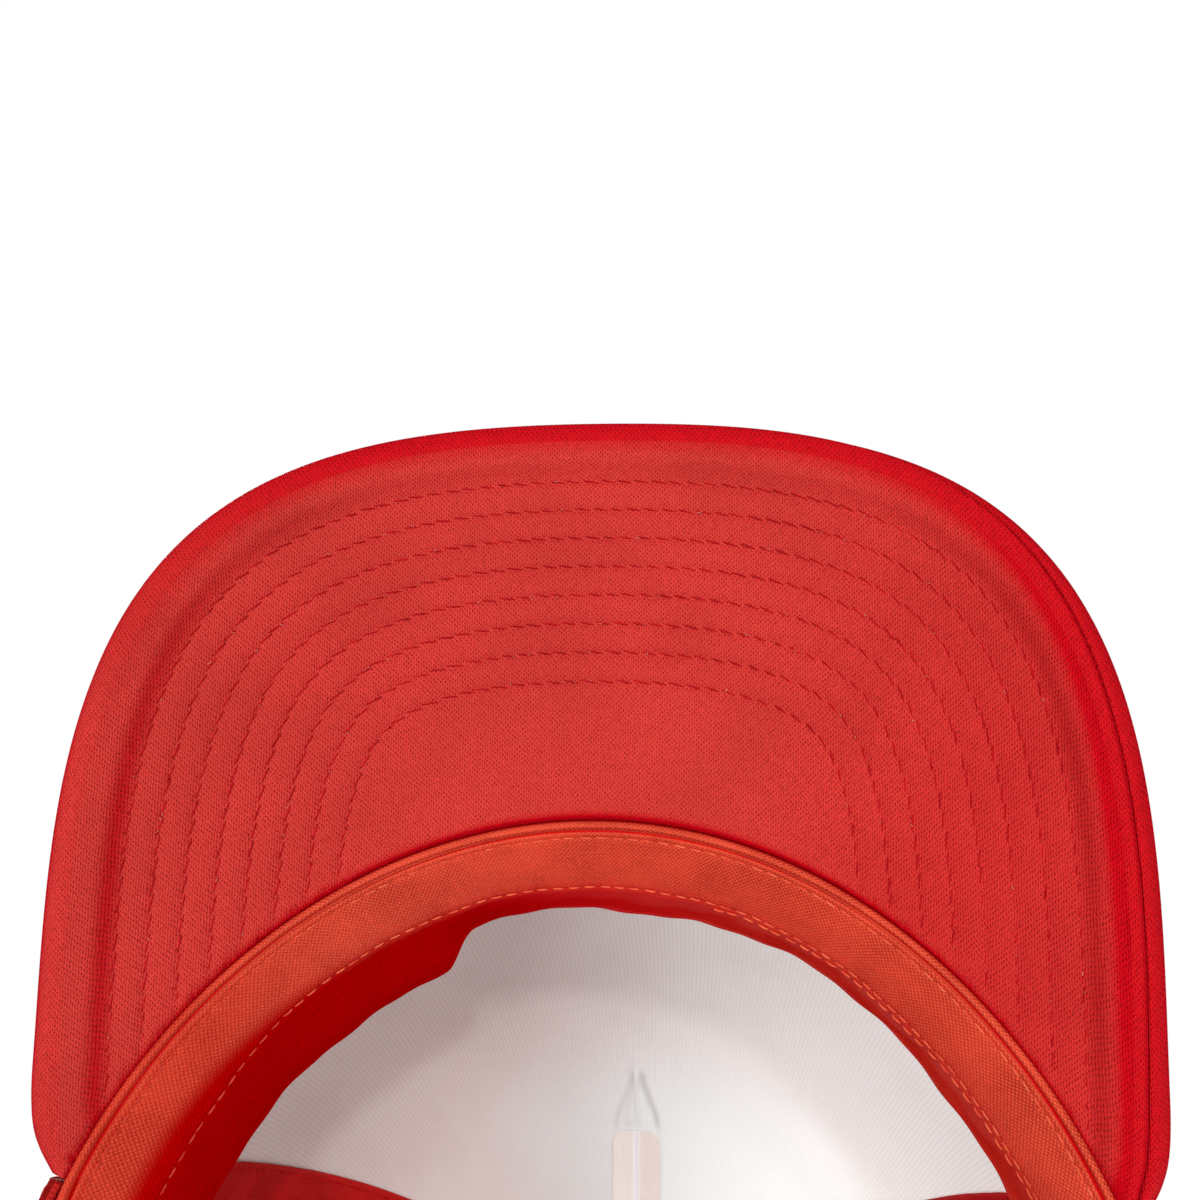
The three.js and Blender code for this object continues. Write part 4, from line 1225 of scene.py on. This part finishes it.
def net(name, from_angle, to_angle, arch=False):
    """A panel of hexagonal net, cut to the panel's outline from an even sheet."""
    middle = (from_angle + to_angle) / 2
    low, high = from_angle + SEAM_GAP, to_angle - SEAM_GAP
    shares = np.linspace(0, 1, 500)
    run = run_along(crown_surface(middle, shares))
    step = 0.01
    aside = crown_surface(middle + step, shares) - crown_surface(middle - step, shares)
    chord = np.linalg.norm(aside, axis=1) / (2 * step)
    first, last = np.interp(share_at_height(middle, MESH_START), shares, run), run[-1]

    def to_sheet(p, q):
        """From flat millimetres to angle and share, held inside the panel."""
        q = np.clip(q, first, last)
        share = np.interp(q, run, shares)
        angle = np.clip(middle + p / np.interp(q, run, chord), low, high)
        return angle, np.maximum(share, share_at_height(angle, MESH_START))

    half = max(abs(low - middle), abs(high - middle)) * chord.max()
    columns = int(half / CELL_WIDTH) + 2
    rows = int((last - first) / (CELL_HEIGHT * 0.75)) + 2
    i, j = np.meshgrid(np.arange(-columns, columns + 1), np.arange(0, rows + 1))
    centre_p = ((i + 0.5 * (j % 2)) * CELL_WIDTH).ravel()
    centre_q = (first + j * CELL_HEIGHT * 0.75).ravel()
    inside = np.abs(centre_p) < (high - middle) * np.interp(centre_q, run, chord) + 0.2 * CELL_WIDTH
    inside &= centre_q < last + 0.3 * CELL_HEIGHT
    if arch:
        there = crown_surface(*to_sheet(centre_p, centre_q))
        inside &= np.hypot(there[:, 0] / ARCH_CUT[0], there[:, 2] / ARCH_CUT[1]) > 1.0
    centre = np.stack([centre_p, centre_q], -1)[inside]
    corners = np.array([(0.5, -0.25), (0.5, 0.25), (0, 0.5), (-0.5, 0.25), (-0.5, -0.25), (0, -0.5)])
    middles = (corners + np.roll(corners, -1, 0)) / 2
    border = np.stack([corners, middles], 1).reshape(-1, 2) * (CELL_WIDTH, CELL_HEIGHT)
    turn = np.arctan2(border[:, 1], border[:, 0])
    hole = np.stack([np.cos(turn) * CELL_WIDTH, np.sin(turn) * CELL_HEIGHT], -1) * 0.5 * HOLE_SHARE
    between = lerp(hole, border, 0.4)
    count = len(centre)
    mid_ply, half_ply = sum(PLY["mesh"]) / 2, (PLY["mesh"][1] - PLY["mesh"][0]) / 2

    def ring(outline, level):
        """Every cell's points at an outline and a level between the two faces."""
        sheet_place = centre[:, None] + outline[None]
        angle, share = to_sheet(sheet_place[..., 0], sheet_place[..., 1])
        if arch:
            angle, share = hold_outside_arch(angle, share)
        return crown_point(angle, share, mid_ply + level * half_ply).reshape(-1, 3)

    # Neighbouring cells share the points of their borders: both faces' come first, then each cell's own rings.
    border_key = np.round((centre[:, None] + border[None]) * KEY_SCALE).astype(np.int64)
    keys, numbers = np.unique(border_key.reshape(-1, 2), axis=0, return_inverse=True)
    numbers = numbers.reshape(count, CELL_SIDES)
    shared, cells = len(keys), count * CELL_SIDES
    faces_shared = np.zeros((2, shared, 3))
    for face, level in enumerate((1.0, -1.0)):
        faces_shared[face, numbers.ravel()] = ring(border, level)
    points = np.concatenate([*faces_shared, ring(between, 0.8), ring(between, -0.8), ring(hole, 0.0)])
    own = 2 * shared + np.arange(cells).reshape(count, CELL_SIDES)
    upper = [numbers, own, own + 2 * cells]
    lower = [numbers + shared, own + cells, own + 2 * cells]

    def band(a, b, flip):
        a2, b2 = np.roll(a, -1, 1), np.roll(b, -1, 1)
        face = np.stack([a, a2, b2, b], -1).reshape(-1, 4)
        return face[:, ::-1].tolist() if flip else face.tolist()

    faces = band(upper[0], upper[1], False) + band(upper[1], upper[2], False)
    faces += band(lower[0], lower[1], True) + band(lower[1], lower[2], True)
    edges = np.stack([numbers, np.roll(numbers, -1, 1)], -1).reshape(-1, 2)
    _, index, counts = np.unique(np.sort(edges, 1), axis=0, return_index=True, return_counts=True)
    start, end = edges[index[counts == 1]].T
    faces += np.stack([end, start, start + shared, end + shared], -1).tolist()
    make(name, points, faces, NET, [name])


def hold_outside_arch(angle, share):
    """Slides a point up or out until it is clear of the arch's binding."""
    there = crown_surface(angle, share)
    x, z = there[..., 0], there[..., 2]
    reach = np.maximum(np.hypot(x / ARCH_HOLD[0], z / ARCH_HOLD[1]), 1e-3)
    push = np.maximum(1, 1 / reach)
    new_share = np.where(push > 1, share_at_height(angle, z * push), share)
    size, _ = profile_at(angle, new_share)
    turned = math.pi - np.arcsin(np.clip(np.abs(x * push) / (HALF_WIDTH * size), 0, 1))
    return np.where(push > 1, np.sign(angle) * turned, angle), new_share


net("side_mesh_left", FRONT_SEAM, SIDE_SEAM)
net("side_mesh_right", -SIDE_SEAM, -FRONT_SEAM)
net("rear_mesh_left", SIDE_SEAM, math.pi, arch=True)
net("rear_mesh_right", -math.pi, -SIDE_SEAM, arch=True)


# ---- Hem band, arch binding and seam tapes ----
HEM_START, HEM_FOOT = rad(67.3), 3.7
HEM_END = math.pi - math.asin((ARCH_HALF_WIDTH + ARCH_BINDING) / HALF_WIDTH) - rad(0.7)
FACE_SHIFT = 20  # how far apart a folded strip's two faces are on the flat cloth
HEM_SEWING = dict(pitch=3.0, fill=0.85, radius=0.19, slant=0.06, sink=0.25)
stitching = []


def hem_face(a, v, ply):
    """v is measured from the middle of the band's full height."""
    share = (np.asarray(v) + HEM_BAND / 2) / HEM_BAND
    top = lerp(HEM_FOOT, HEM_BAND, ramp(np.abs(a), FRONT_SEAM + rad(0.4), FRONT_SEAM + rad(1.6)))
    return wall_point(a, top * share, ply)


def arch_face(turn, v, ply):
    reach = ARCH_BINDING / 2 + np.asarray(v)
    return rear_wall_point(np.cos(turn) * (ARCH_HALF_WIDTH + reach), np.sin(turn) * (ARCH_HEIGHT + reach), ply)


def folded_strip(name, face, places, sewn_places, width, inset, across, around, ripple, lean):
    """A strip folded over an edge, fuller in the middle and pulled in along its stitching, and its stitches."""
    section = rounded_section(width / 2, 1.1, across)
    rows = (-width / 2 + inset, width / 2 - inset)
    v, w = section[:, 0][:, None], section[:, 1][:, None]
    outwards = np.where(w > 0.5, 1, -1) * (np.abs(w - 0.5) > 0.49)
    swell = outwards * (0.12 - 0.25 * sum(bell(v - row, 0.5) for row in rows))
    ply = lerp(PLY["hem"][0], PLY["hem"][1], w) + swell
    points, faces = tube(face(places[None], v, ply + 0.08 * np.sin(places[None] * ripple + v * lean)))
    flats = stack(places[None] * around, v + FACE_SHIFT * (w > 0.5))
    make(name, points, faces, BINDING, [name], flats)
    for row in rows:
        for ply, flip in ((PLY["hem"][1] - 0.1, 1.0), (PLY["hem"][0] + 0.1, -1.0)):
            where = face(sewn_places, row, ply)
            stitching.append(thread(where, (face(sewn_places, row, ply + 0.5) - where) * flip, **HEM_SEWING))


for name, sign in (("hem_band_left", 1), ("hem_band_right", -1)):
    places = np.linspace(HEM_START, HEM_END, 220) * sign
    sewn = np.linspace(HEM_START + rad(0.5), HEM_END - rad(0.5), 500) * sign
    folded_strip(name, hem_face, places, sewn, width=HEM_BAND, inset=1.6, across=26, around=MEAN_RADIUS,
                 ripple=70, lean=0.4)
places, sewn = np.linspace(0, math.pi, 300), np.linspace(0.02, math.pi - 0.02, 700)
folded_strip("rear_arch_binding", arch_face, places, sewn, width=ARCH_BINDING, inset=1.5, across=24, around=56,
             ripple=90, lean=0.5)
points, faces = join(stitching)
make("hem_stitching", points, faces, THREAD_RED)

tape_section = rounded_section(1.0, 0.08, 22)
TAPE_TOP = 0.968


def tape_place(seam, side, share, ply):
    """side is in millimetres across the tape."""
    turn = rad(1)
    chord = np.linalg.norm(crown_surface(seam + turn, share) - crown_surface(seam - turn, share), axis=-1)
    return crown_point(seam + np.asarray(side) * turn * 2 / chord, share, ply)


def seam_tape(name, seam, ply_name, start, width, material, round_end=0.0):
    """A tape up the inside of a seam from a height. Returns its shares of the crown's height."""
    shares = np.linspace(float(share_at_height(seam, start)), TAPE_TOP, 150)
    run = run_along(crown_surface(seam, shares))
    half = width / 2
    if round_end:
        closing = np.clip(run / round_end, 0, 1)
        half = half - round_end * (1 - np.sqrt(1 - (1 - closing) ** 2))
    v, w = tape_section[:, 0][:, None], tape_section[:, 1][:, None]
    ply = lerp(*PLY[ply_name], w) + 0.06 * np.sin(run / 3.1 + v * 2) + 0.05 * np.sin(run / 1.3)
    points, faces = tube(tape_place(seam, v * half, shares[None], ply))
    make(name, points, faces, material, [name], stack(v * half, run[None]))
    return shares


def seam_row(seam, shares, side, ply, flip, radius=0.18):
    where = tape_place(seam, side, shares, ply)
    beyond = tape_place(seam, side, shares, ply + 0.3)
    return thread(where, (beyond - where) * flip, 2.9, 0.85, radius, 0.05, 0.25)


def sew_tape(seam, shares, ply_name, count, sign=0):
    """Both rows of a tape, seen inside on the tape and outside on the panels. sign is 0 where both are mesh."""
    fine = np.linspace(shares[0] + 0.01, shares[-1] - 0.005, count)
    for side in (-TAPE_WIDTH / 2 + 1.3, TAPE_WIDTH / 2 - 1.3):
        tape_stitches.append(seam_row(seam, fine, side, PLY[ply_name][0], -1.0))
        on_cloth = side * sign < 0
        outer_ply = PLY["fabric"][1] - 0.2 if on_cloth else PLY["mesh"][1]
        outside = crown_stitches_white if on_cloth else crown_stitches_red
        outside.append(seam_row(seam, fine, side, outer_ply, 1.0, 0.2))


tape_stitches, crown_stitches_red, crown_stitches_white = [], [], []
for label, sign in (("left", 1), ("right", -1)):
    for name, seam, ply_name, start in (
        (f"seam_tape_front_{label}", sign * FRONT_SEAM, "front_tape", 2 * FRONT_START),
        (f"seam_tape_side_{label}", sign * SIDE_SEAM, "rear_tape", MESH_START),
    ):
        shares = seam_tape(name, seam, ply_name, start, TAPE_WIDTH, BINDING)
        sew_tape(seam, shares, ply_name, 500, sign if "front" in name else 0)
above_arch = ARCH_HEIGHT + ARCH_BINDING + 2
shares = seam_tape("seam_tape_rear", math.pi, "rear_tape", above_arch, TAPE_WIDTH, BINDING)
sew_tape(math.pi, shares, "rear_tape", 300)
seam_tape("dart_tape", 0.0, "front_tape", DART_START, DART_TAPE_WIDTH, TAPE, round_end=2.5)
points, faces = join(tape_stitches + crown_stitches_red)
make("crown_stitching_red", points, faces, THREAD_RED)
points, faces = join(crown_stitches_white)
make("crown_stitching_white", points, faces, THREAD_WHITE)


# ---- Snap closure ----
def strap_half(along):
    """Half the strap's width: wider towards the tab and round at the tip."""
    to_tip = (along - STRAP_TIP) * HALF_WIDTH
    width = lerp(STRAP_HALF, STRAP_ROOT_HALF, ramp(to_tip, 45, 68))
    closing = np.clip(to_tip / STRAP_HALF, 0, 1)
    return np.maximum(0.8, width * np.sqrt(1 - (1 - closing) ** 2))


SIDE_STEPS = np.array([-1, -0.975, -0.93, -0.8, -0.45, -0.15, 0.15, 0.45, 0.8, 0.93, 0.975, 1])
STRAP_EDGE, HOLE_STEPS, END_GAP = 0.55, 9, rad(0.15)
FIRST_SNAP = STRAP_TIP + rad(4)
RIM_RADII, RIM_LEVELS = (0, 0.12, 0.4, 0.75, 1.0), (0.0, 0.75, 1.5, 1.5, 1.0)


def strap_faces(points, faces, along, v, raised, wrap=False):
    """Adds both faces of a stretch of strap, thinned to nothing at the strap's edges."""
    ends = np.minimum((along - STRAP_TIP) * HALF_WIDTH, (STRAP_END - along) * HALF_WIDTH)
    gap = np.clip(np.minimum(strap_half(along) - np.abs(v), ends) / STRAP_EDGE, 0, 1)
    for level, height in ((1, raised), (-1, np.minimum(raised, 1.0))):
        number = sum(len(p) for p in points) + np.arange(v.size).reshape(v.shape)
        points.append(stack(along, v, np.sqrt(1 - (1 - gap) ** 2) * height * level).reshape(-1, 3))
        if wrap:
            number = np.concatenate([number, number[:, :1]], 1)
        faces.extend(quads(number if level > 0 else number[::-1]))


def strap_solid(with_holes):
    """Points and faces of a strap with its sewn tab, in the flat: (along, v, level)."""
    points, faces = [], []

    def grid_part(alongs):
        v = strap_half(alongs)[None] * SIDE_STEPS[:, None]
        strap_faces(points, faces, np.broadcast_to(alongs, v.shape), v, 1.0)

    def cell_part(centre):
        """A stretch of strap round one hole: rings that grow from the hole to the stretch's outline."""
        low, high = centre - SNAP_PITCH / 2, centre + SNAP_PITCH / 2
        top = np.linspace(low, high, HOLE_STEPS)
        outline = [(low, s) for s in SIDE_STEPS]
        outline += [(x, 1.0) for x in top[1:]]
        outline += [(high, s) for s in SIDE_STEPS[::-1][1:]]
        outline += [(x, -1.0) for x in top[::-1][1:-1]]
        outline = np.array(outline)
        border = np.stack([outline[:, 0], outline[:, 1] * strap_half(outline[:, 0])], -1)
        turn = np.arctan2(border[:, 1], (border[:, 0] - centre) * HALF_WIDTH)
        rings = [np.stack([centre + (HOLE_RADIUS + more) * np.cos(turn) / HALF_WIDTH,
                           (HOLE_RADIUS + more) * np.sin(turn)], -1) for more in RIM_RADII]
        rings += [lerp(rings[-1], border, share) for share in (0.3, 0.6, 0.82, 0.92, 0.97, 1.0)]
        rings = np.stack(rings)
        raised = np.ones((len(rings), 1))
        raised[:len(RIM_LEVELS), 0] = RIM_LEVELS
        strap_faces(points, faces, rings[..., 0], rings[..., 1], raised, wrap=True)

    near_end, end = STRAP_END - rad(0.4), STRAP_END - END_GAP
    if with_holes:
        grid_part(np.linspace(STRAP_TIP, FIRST_SNAP - SNAP_PITCH / 2, 4))
        for k in range(SNAP_COUNT):
            cell_part(FIRST_SNAP + k * SNAP_PITCH)
        grid_part(np.append(np.linspace(FIRST_SNAP + (SNAP_COUNT - 0.5) * SNAP_PITCH, near_end, 40), end))
    else:
        tip, rest = np.linspace(STRAP_TIP, FIRST_SNAP, 14), np.linspace(FIRST_SNAP, near_end, 110)[1:]
        grid_part(np.concatenate([tip, rest, [end]]))
    return np.concatenate(points), faces


def strap_lay(flat, side, with_holes):
    """Lays a flat strap on the cap. The one with holes passes outside the other, and back in beside its tab."""
    along, v, level = flat.T
    middle = sum(PLY["inner_strap"]) / 2
    if with_holes:
        middle = lerp(sum(PLY["outer_strap"]) / 2, middle, ramp(along, rad(17), rad(30)))
    half = (PLY["outer_strap"][1] - PLY["outer_strap"][0]) / 2
    place = base_point(side * (math.pi - along), middle + level * half)
    return stack(place[:, 0], place[:, 1], STRAP_Z + v)


def weld(piece):
    """Joins the stretches of a strap and closes what is left open."""
    mesh = bmesh.new()
    mesh.from_mesh(piece.data)
    bmesh.ops.remove_doubles(mesh, verts=mesh.verts, dist=0.02 * MM)
    mesh.faces.ensure_lookup_table()
    open_edges = [e for e in mesh.edges if len(e.link_faces) == 1]
    if open_edges:
        bmesh.ops.holes_fill(mesh, edges=open_edges, sides=0)
    bmesh.ops.recalc_face_normals(mesh, faces=mesh.faces)
    mesh.to_mesh(piece.data)
    mesh.free()
    piece.data.shade_smooth()


PEG_PROFILE = [
    (0, -0.3), (1.7, -0.3), (1.7, 0.25), (1.45, 0.4), (1.3, 0.55), (1.27, 1.3), (1.42, 1.55), (1.5, 1.8),
    (1.46, 2.05), (1.25, 2.3), (0.8, 2.42), (0.35, 2.36), (0, 2.34),
]


def peg(side, along):
    points, faces = lathe(PEG_PROFILE, 24)
    at = base_point(side * (math.pi - along), PLY["inner_strap"][1])
    out = base_out(side * (math.pi - along))
    axes = np.array([(-out[1], out[0], 0.0), UP, (out[0], out[1], 0.0)])
    return points @ axes + np.array([at[0], at[1], STRAP_Z]), faces


BEND_HALF = rad(1.2)
for name, side, with_holes, body, tab in (
    ("snap_strap_left", 1, True, "hole_strap", "snap_tab_left"),
    ("snap_strap_right", -1, False, "peg_strap", "snap_tab_right"),
):
    flat, faces = strap_solid(with_holes)
    points = strap_lay(flat, side, with_holes)
    piece = make(name, points, faces, PLASTIC, [name, tab], ride=False)
    weld(piece)
    if not with_holes:
        points, faces = join([peg(side, FIRST_SNAP + SNAP_PITCH * k) for k in range(SNAP_COUNT)])
        make(name + "_pegs", points, faces, PLASTIC, body=body)
    tab_side = base_point(side * (math.pi - STRAP_HINGE - BEND_HALF))
    strap_side = base_point(side * (math.pi - STRAP_HINGE + BEND_HALF))
    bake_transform(piece)


# ---- Button and rivet ----
def button_bend(r, z, turn):
    """The cloth's gathers round the rim."""
    gather = 0.14 * np.cos(turn * 22) + 0.08 * np.cos(turn * 37 + 1)
    rim = ramp(r, 5.5, 7.4) * (1 - ramp(z, 1.6, 3.0))
    return r + gather * rim, z + 0.05 * np.sin(turn * 5 + r)


dome = np.linspace(0.1, math.pi / 2 - 0.08, 14)
button_profile = [(0, 0), (3, 0), (6.2, 0), (6.9, 0.1), (7.3, 0.4), (7.5, 0.9)]
button_profile += [(7.5 * math.cos(t) ** 0.8, 1 + 3.4 * math.sin(t)) for t in dome]
button_profile += [(0, 4.4)]
points, faces = lathe(button_profile, 128, button_bend)
flats = points[:, :2].copy()
points = points + np.array([0, CROWN_TOP_Y, CROWN_TOP_Z + BUTTON_LOW])
make("button_cover", points, faces, BUTTON_CLOTH, ["button_cover"], flats)

rivet_profile = [
    (0, -1.0), (3, -1.05), (6, -1.0), (7.5, -0.85), (7.9, -0.6), (8, -0.4), (7.9, -0.15), (7.5, 0.1), (7, 0.2),
    (2.5, 0.2), (2.2, 0.4), (2.2, 3.4), (2.0, 3.6), (0, 3.6),
]
points, faces = lathe(rivet_profile, 96)
points = points + np.array([0, CROWN_TOP_Y, CROWN_TOP_Z])
make("button_rivet", points, faces, NICKEL, ["button_rivet"])


# ---- Floor, lights and camera ----
FLOOR_HALF = 3.0  # metres
WARM = (1, 0.985, 0.965)


def stage_floor():
    """A pale floor that is seen and shadowed from above, and is clear from below."""
    m = Finish("floor_paper")
    place = m.object()
    grain = m.noise(place, 0.08, 3.0)
    shade = m.mix(m.span(grain, 0.3, 0.7), linear(247, 246, 244), linear(242, 241, 239))
    paper = m.add("BsdfPrincipled", {"Base Color": shade, "Roughness": 0.9, "Normal": m.bump(grain, 0.1, 0.3)})
    clear = m.add("BsdfTransparent")
    facing = m.add("NewGeometry").outputs["Backfacing"]
    both = m.add("MixShader", {0: facing, 1: paper.outputs[0], 2: clear.outputs[0]})
    m.add("OutputMaterial", {"Surface": both.outputs[0]})
    mesh = bpy.data.meshes.new("floor")
    corners = ((-1, -1), (1, -1), (1, 1), (-1, 1))
    mesh.from_pydata([(x * FLOOR_HALF, y * FLOOR_HALF, 0) for x, y in corners], [], [(0, 1, 2, 3)])
    mesh.materials.append(m.material)
    floor = bpy.data.objects.new("floor", mesh)
    floor.location.z = min(cad_low.z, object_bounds()[0].z) - 0.5 * MM
    bpy.context.scene.collection.objects.link(floor)
    floor.visible_shadow = floor.visible_diffuse = floor.visible_glossy = floor.visible_transmission = False


def sun(name, travel, strength, spread, colour=(1, 1, 1)):
    """A sun by the way its light travels and its spread in degrees."""
    light = bpy.data.lights.new(name, "SUN")
    light.energy = strength
    light.angle = rad(spread)
    light.color = colour
    lamp = bpy.data.objects.new(name, light)
    lamp.rotation_mode = "QUATERNION"
    lamp.rotation_quaternion = Vector(travel).to_track_quat("-Z", "Y")
    bpy.context.scene.collection.objects.link(lamp)


def studio():
    """White to the camera, a dim fill to everything else, and soft suns from below and above."""
    world = bpy.data.worlds.new("studio")
    world.use_nodes = True
    bpy.context.scene.world = world
    tree = world.node_tree
    tree.nodes.clear()
    path = tree.nodes.new("ShaderNodeLightPath")
    seen = tree.nodes.new("ShaderNodeBackground")
    seen.inputs[0].default_value = (1, 1, 1, 1)
    fill = tree.nodes.new("ShaderNodeBackground")
    fill.inputs[0].default_value = (1, 0.985, 0.97, 1)
    fill.inputs[1].default_value = 0.25
    both = tree.nodes.new("ShaderNodeMixShader")
    out = tree.nodes.new("ShaderNodeOutputWorld")
    tree.links.new(path.outputs["Is Camera Ray"], both.inputs[0])
    tree.links.new(fill.outputs[0], both.inputs[1])
    tree.links.new(seen.outputs[0], both.inputs[2])
    tree.links.new(both.outputs[0], out.inputs[0])
    sun("key_below", (-0.10, 0.22, 0.97), 1.1, 3.4, WARM)
    sun("soft_left", (0.58, -0.22, 0.78), 1.4, 25, WARM)
    sun("soft_right", (-0.50, -0.22, 0.83), 0.95, 25, WARM)
    sun("key_above", (0.45, 0.55, -0.75), 1.7, 14)
    sun("fill_rear", (-0.5, -0.75, -0.35), 0.9, 25)


def photo_camera():
    """The photo's view: from below, aimed at a place beside the brim's front."""
    tilt, swing, twist = rad(16.2), rad(5.82), rad(1.75)
    away = 243.7
    target = np.array([0.77, -130.9, 0.0])
    look = np.array([-math.sin(swing), -math.cos(swing) * math.sin(tilt), math.cos(swing) * math.cos(tilt)])
    right = unit(np.cross(look, (0.0, -1.0, 0.0)))
    up = np.cross(right, look)
    right, up = math.cos(twist) * right + math.sin(twist) * up, -math.sin(twist) * right + math.cos(twist) * up
    place = (target - look * away) * MM + SHIFT
    data = bpy.data.cameras.new("camera")
    data.sensor_width = 36.0
    data.lens = 44.45
    data.clip_start, data.clip_end = 0.01, 20
    camera = bpy.data.objects.new("camera", data)
    turn = Matrix((right, up, -look)).transposed().to_4x4()
    camera.matrix_world = Matrix.Translation(Vector(place)) @ turn
    bpy.context.scene.collection.objects.link(camera)
    bpy.context.scene.camera = camera


stage_floor()
studio()
photo_camera()
bpy.context.scene.view_settings.view_transform = "Standard"
